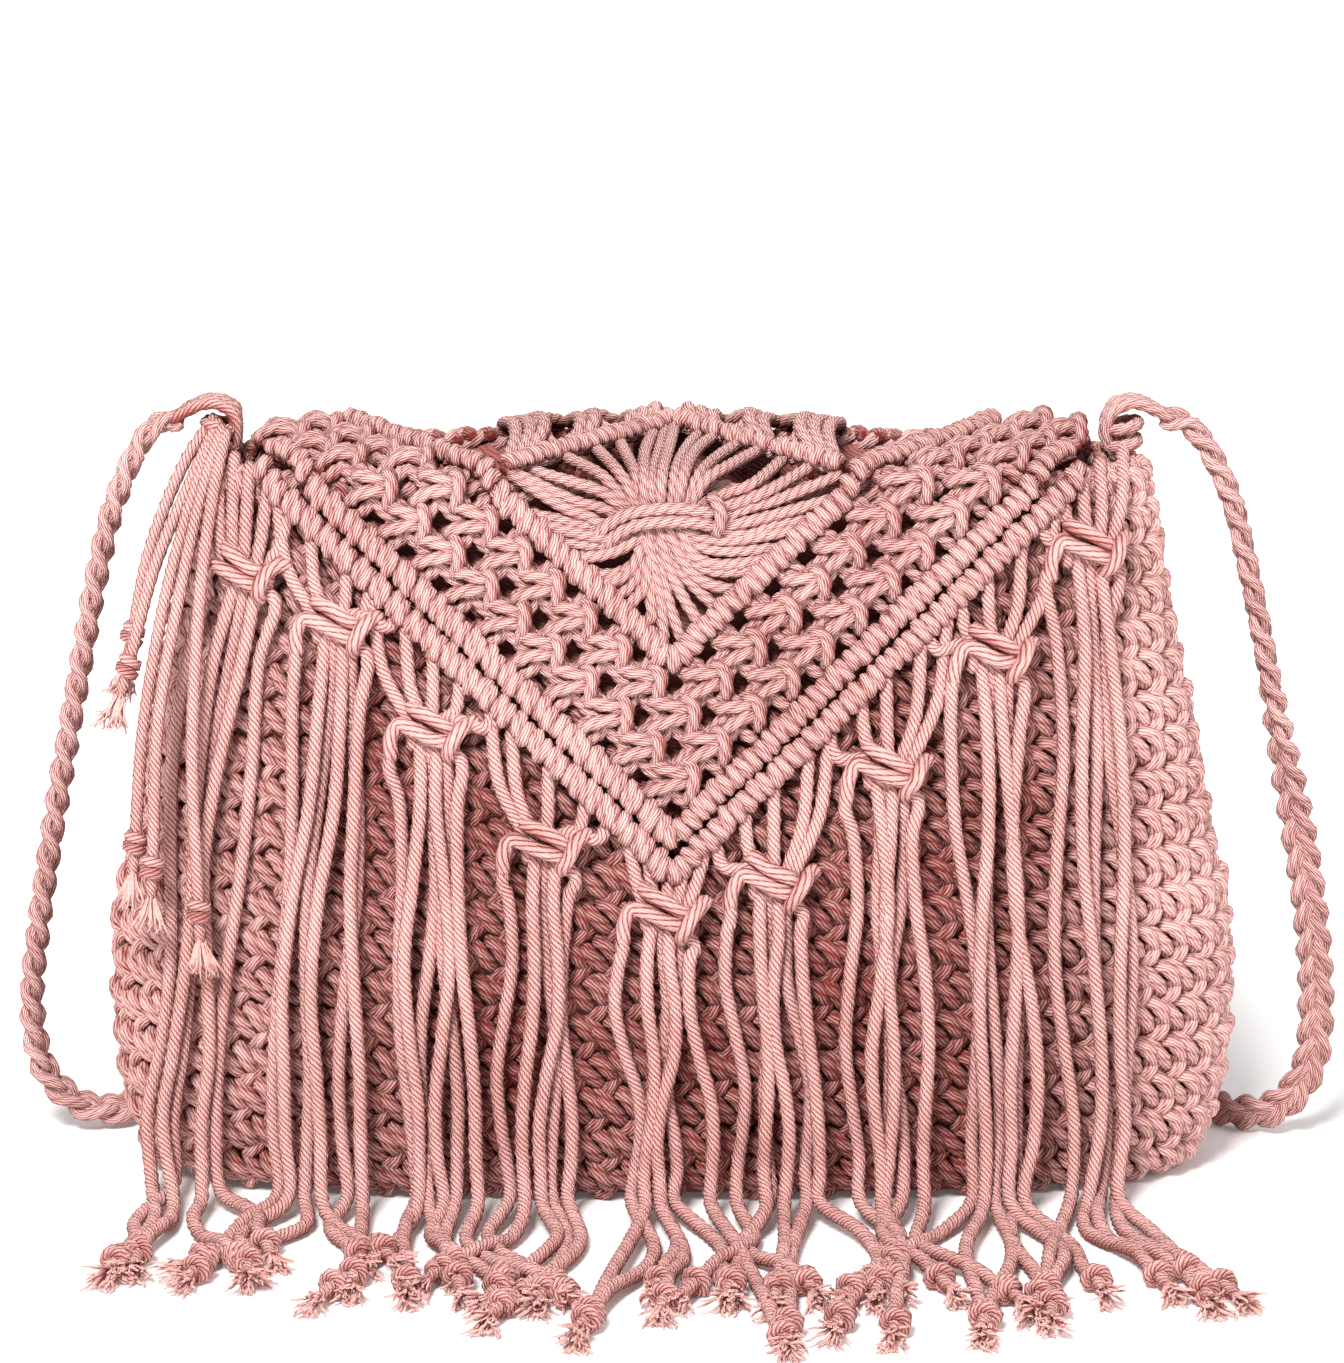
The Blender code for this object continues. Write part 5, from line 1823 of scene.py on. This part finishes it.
@dataclass
class Studio:
    """The plain pale floor, whose glow fades near the bag as a painted shadow, the soft lights and the
    camera.
    """

    floor_size: float = 60.0
    floor_glow: float = 0.62
    painted_floor_shadow_glow: float = 0.10
    painted_floor_shadow_reach: tuple[float, float] = (0.12, 0.34)
    camera_place: tuple[float, float, float] = (0.0, -1.227, 0.3616)
    aim: tuple[float, float, float] = (0.0, 0.0, 0.1231)
    focal_pixels: float = 5000.0
    image_width: float = 1344.0
    sensor: float = 36.0
    world_light: float = 0.40
    lamp_aim: tuple[float, float, float] = (0.0, 0.0, 0.1)
    lamps: tuple[tuple[str, tuple[float, float, float], float, float], ...] = (
        ("key_light", (-0.4, -1.6, 1.5), 0.5, 66.0),
        ("fill_light", (1.6, -1.3, 1.1), 1.4, 11.0),
        ("top_light", (0.2, 0.6, 2.0), 1.2, 3.0),
    )

    def floor(self) -> None:
        """The floor, which isn't part of the bag: it glows, less near the bag, where the fade paints a soft
        shadow.
        """
        mesh = bmesh.new()
        bmesh.ops.create_grid(mesh, x_segments=1, y_segments=1, size=self.floor_size / 2)
        data = bpy.data.meshes.new("studio_floor")
        mesh.to_mesh(data)
        mesh.free()
        floor = bpy.data.objects.new("studio_floor", data)
        paint = bpy.data.materials.new("floor_paint")
        paint.use_nodes = True
        nodes, links = paint.node_tree.nodes, paint.node_tree.links
        shader = nodes["Principled BSDF"]
        set_inputs(shader, {"Base Color": (0.94, 0.935, 0.93, 1.0), "Roughness": 0.9})
        set_inputs(shader, {"Specular IOR Level": 0.1, "Emission Strength": self.floor_glow})
        # Painted shadow: the floor's glow drops to a low value within a short reach of the bag's centre.
        place = nodes.new("ShaderNodeTexCoord")
        reach = nodes.new("ShaderNodeVectorMath")
        reach.operation = "LENGTH"
        painted_floor_shadow_fade = nodes.new("ShaderNodeMapRange")
        painted_floor_shadow_fade.interpolation_type = "SMOOTHSTEP"
        near, far = self.painted_floor_shadow_reach
        set_inputs(painted_floor_shadow_fade, {"From Min": near, "From Max": far, "To Min": self.painted_floor_shadow_glow})
        links.new(place.outputs["Object"], reach.inputs[0])
        links.new(reach.outputs["Value"], painted_floor_shadow_fade.inputs["Value"])
        links.new(painted_floor_shadow_fade.outputs["Result"], shader.inputs["Emission Color"])
        data.materials.append(paint)
        bpy.context.scene.collection.objects.link(floor)

    def light(self, name: str, place: tuple, size: float, power: float) -> None:
        """A square soft light that faces the bag.

        Args:
            name: its name.
            place: where it stands.
            size: the length of its side.
            power: its power in watts.
        """
        data = bpy.data.lights.new(name, "AREA")
        data.size = size
        data.energy = power
        lamp = bpy.data.objects.new(name, data)
        lamp.location = place
        lamp.rotation_euler = facing(place, self.lamp_aim)
        bpy.context.scene.collection.objects.link(lamp)

    def build(self) -> None:
        """Make the studio."""
        scene = bpy.context.scene
        scene.view_settings.view_transform = "Standard"
        world = bpy.data.worlds.new("studio_air")
        scene.world = world
        world.use_nodes = True
        air = world.node_tree.nodes["Background"]
        set_inputs(air, {"Color": (1.0, 0.995, 0.99, 1.0), "Strength": self.world_light})
        self.floor()
        for name, place, size, power in self.lamps:
            self.light(name, place, size, power)
        data = bpy.data.cameras.new("studio_camera")
        data.sensor_width = self.sensor
        data.sensor_fit = "HORIZONTAL"
        data.lens = self.focal_pixels / self.image_width * self.sensor
        camera = bpy.data.objects.new("studio_camera", data)
        camera.location = self.camera_place
        camera.rotation_euler = facing(self.camera_place, self.aim)
        scene.collection.objects.link(camera)
        scene.camera = camera


def main() -> None:
    """Build the bag's sub-assemblies in order, then the studio."""
    logging.basicConfig(level=logging.INFO, format="%(message)s")
    fringe = Fringe()
    Strap().build()
    Pouch().build()
    Net().build()
    Diamond().build()
    Ridges().build()
    MouthLoops().build()
    fringe.build()
    Corners().build(fringe)
    Studio().build()


if __name__ == "__main__":
    main()
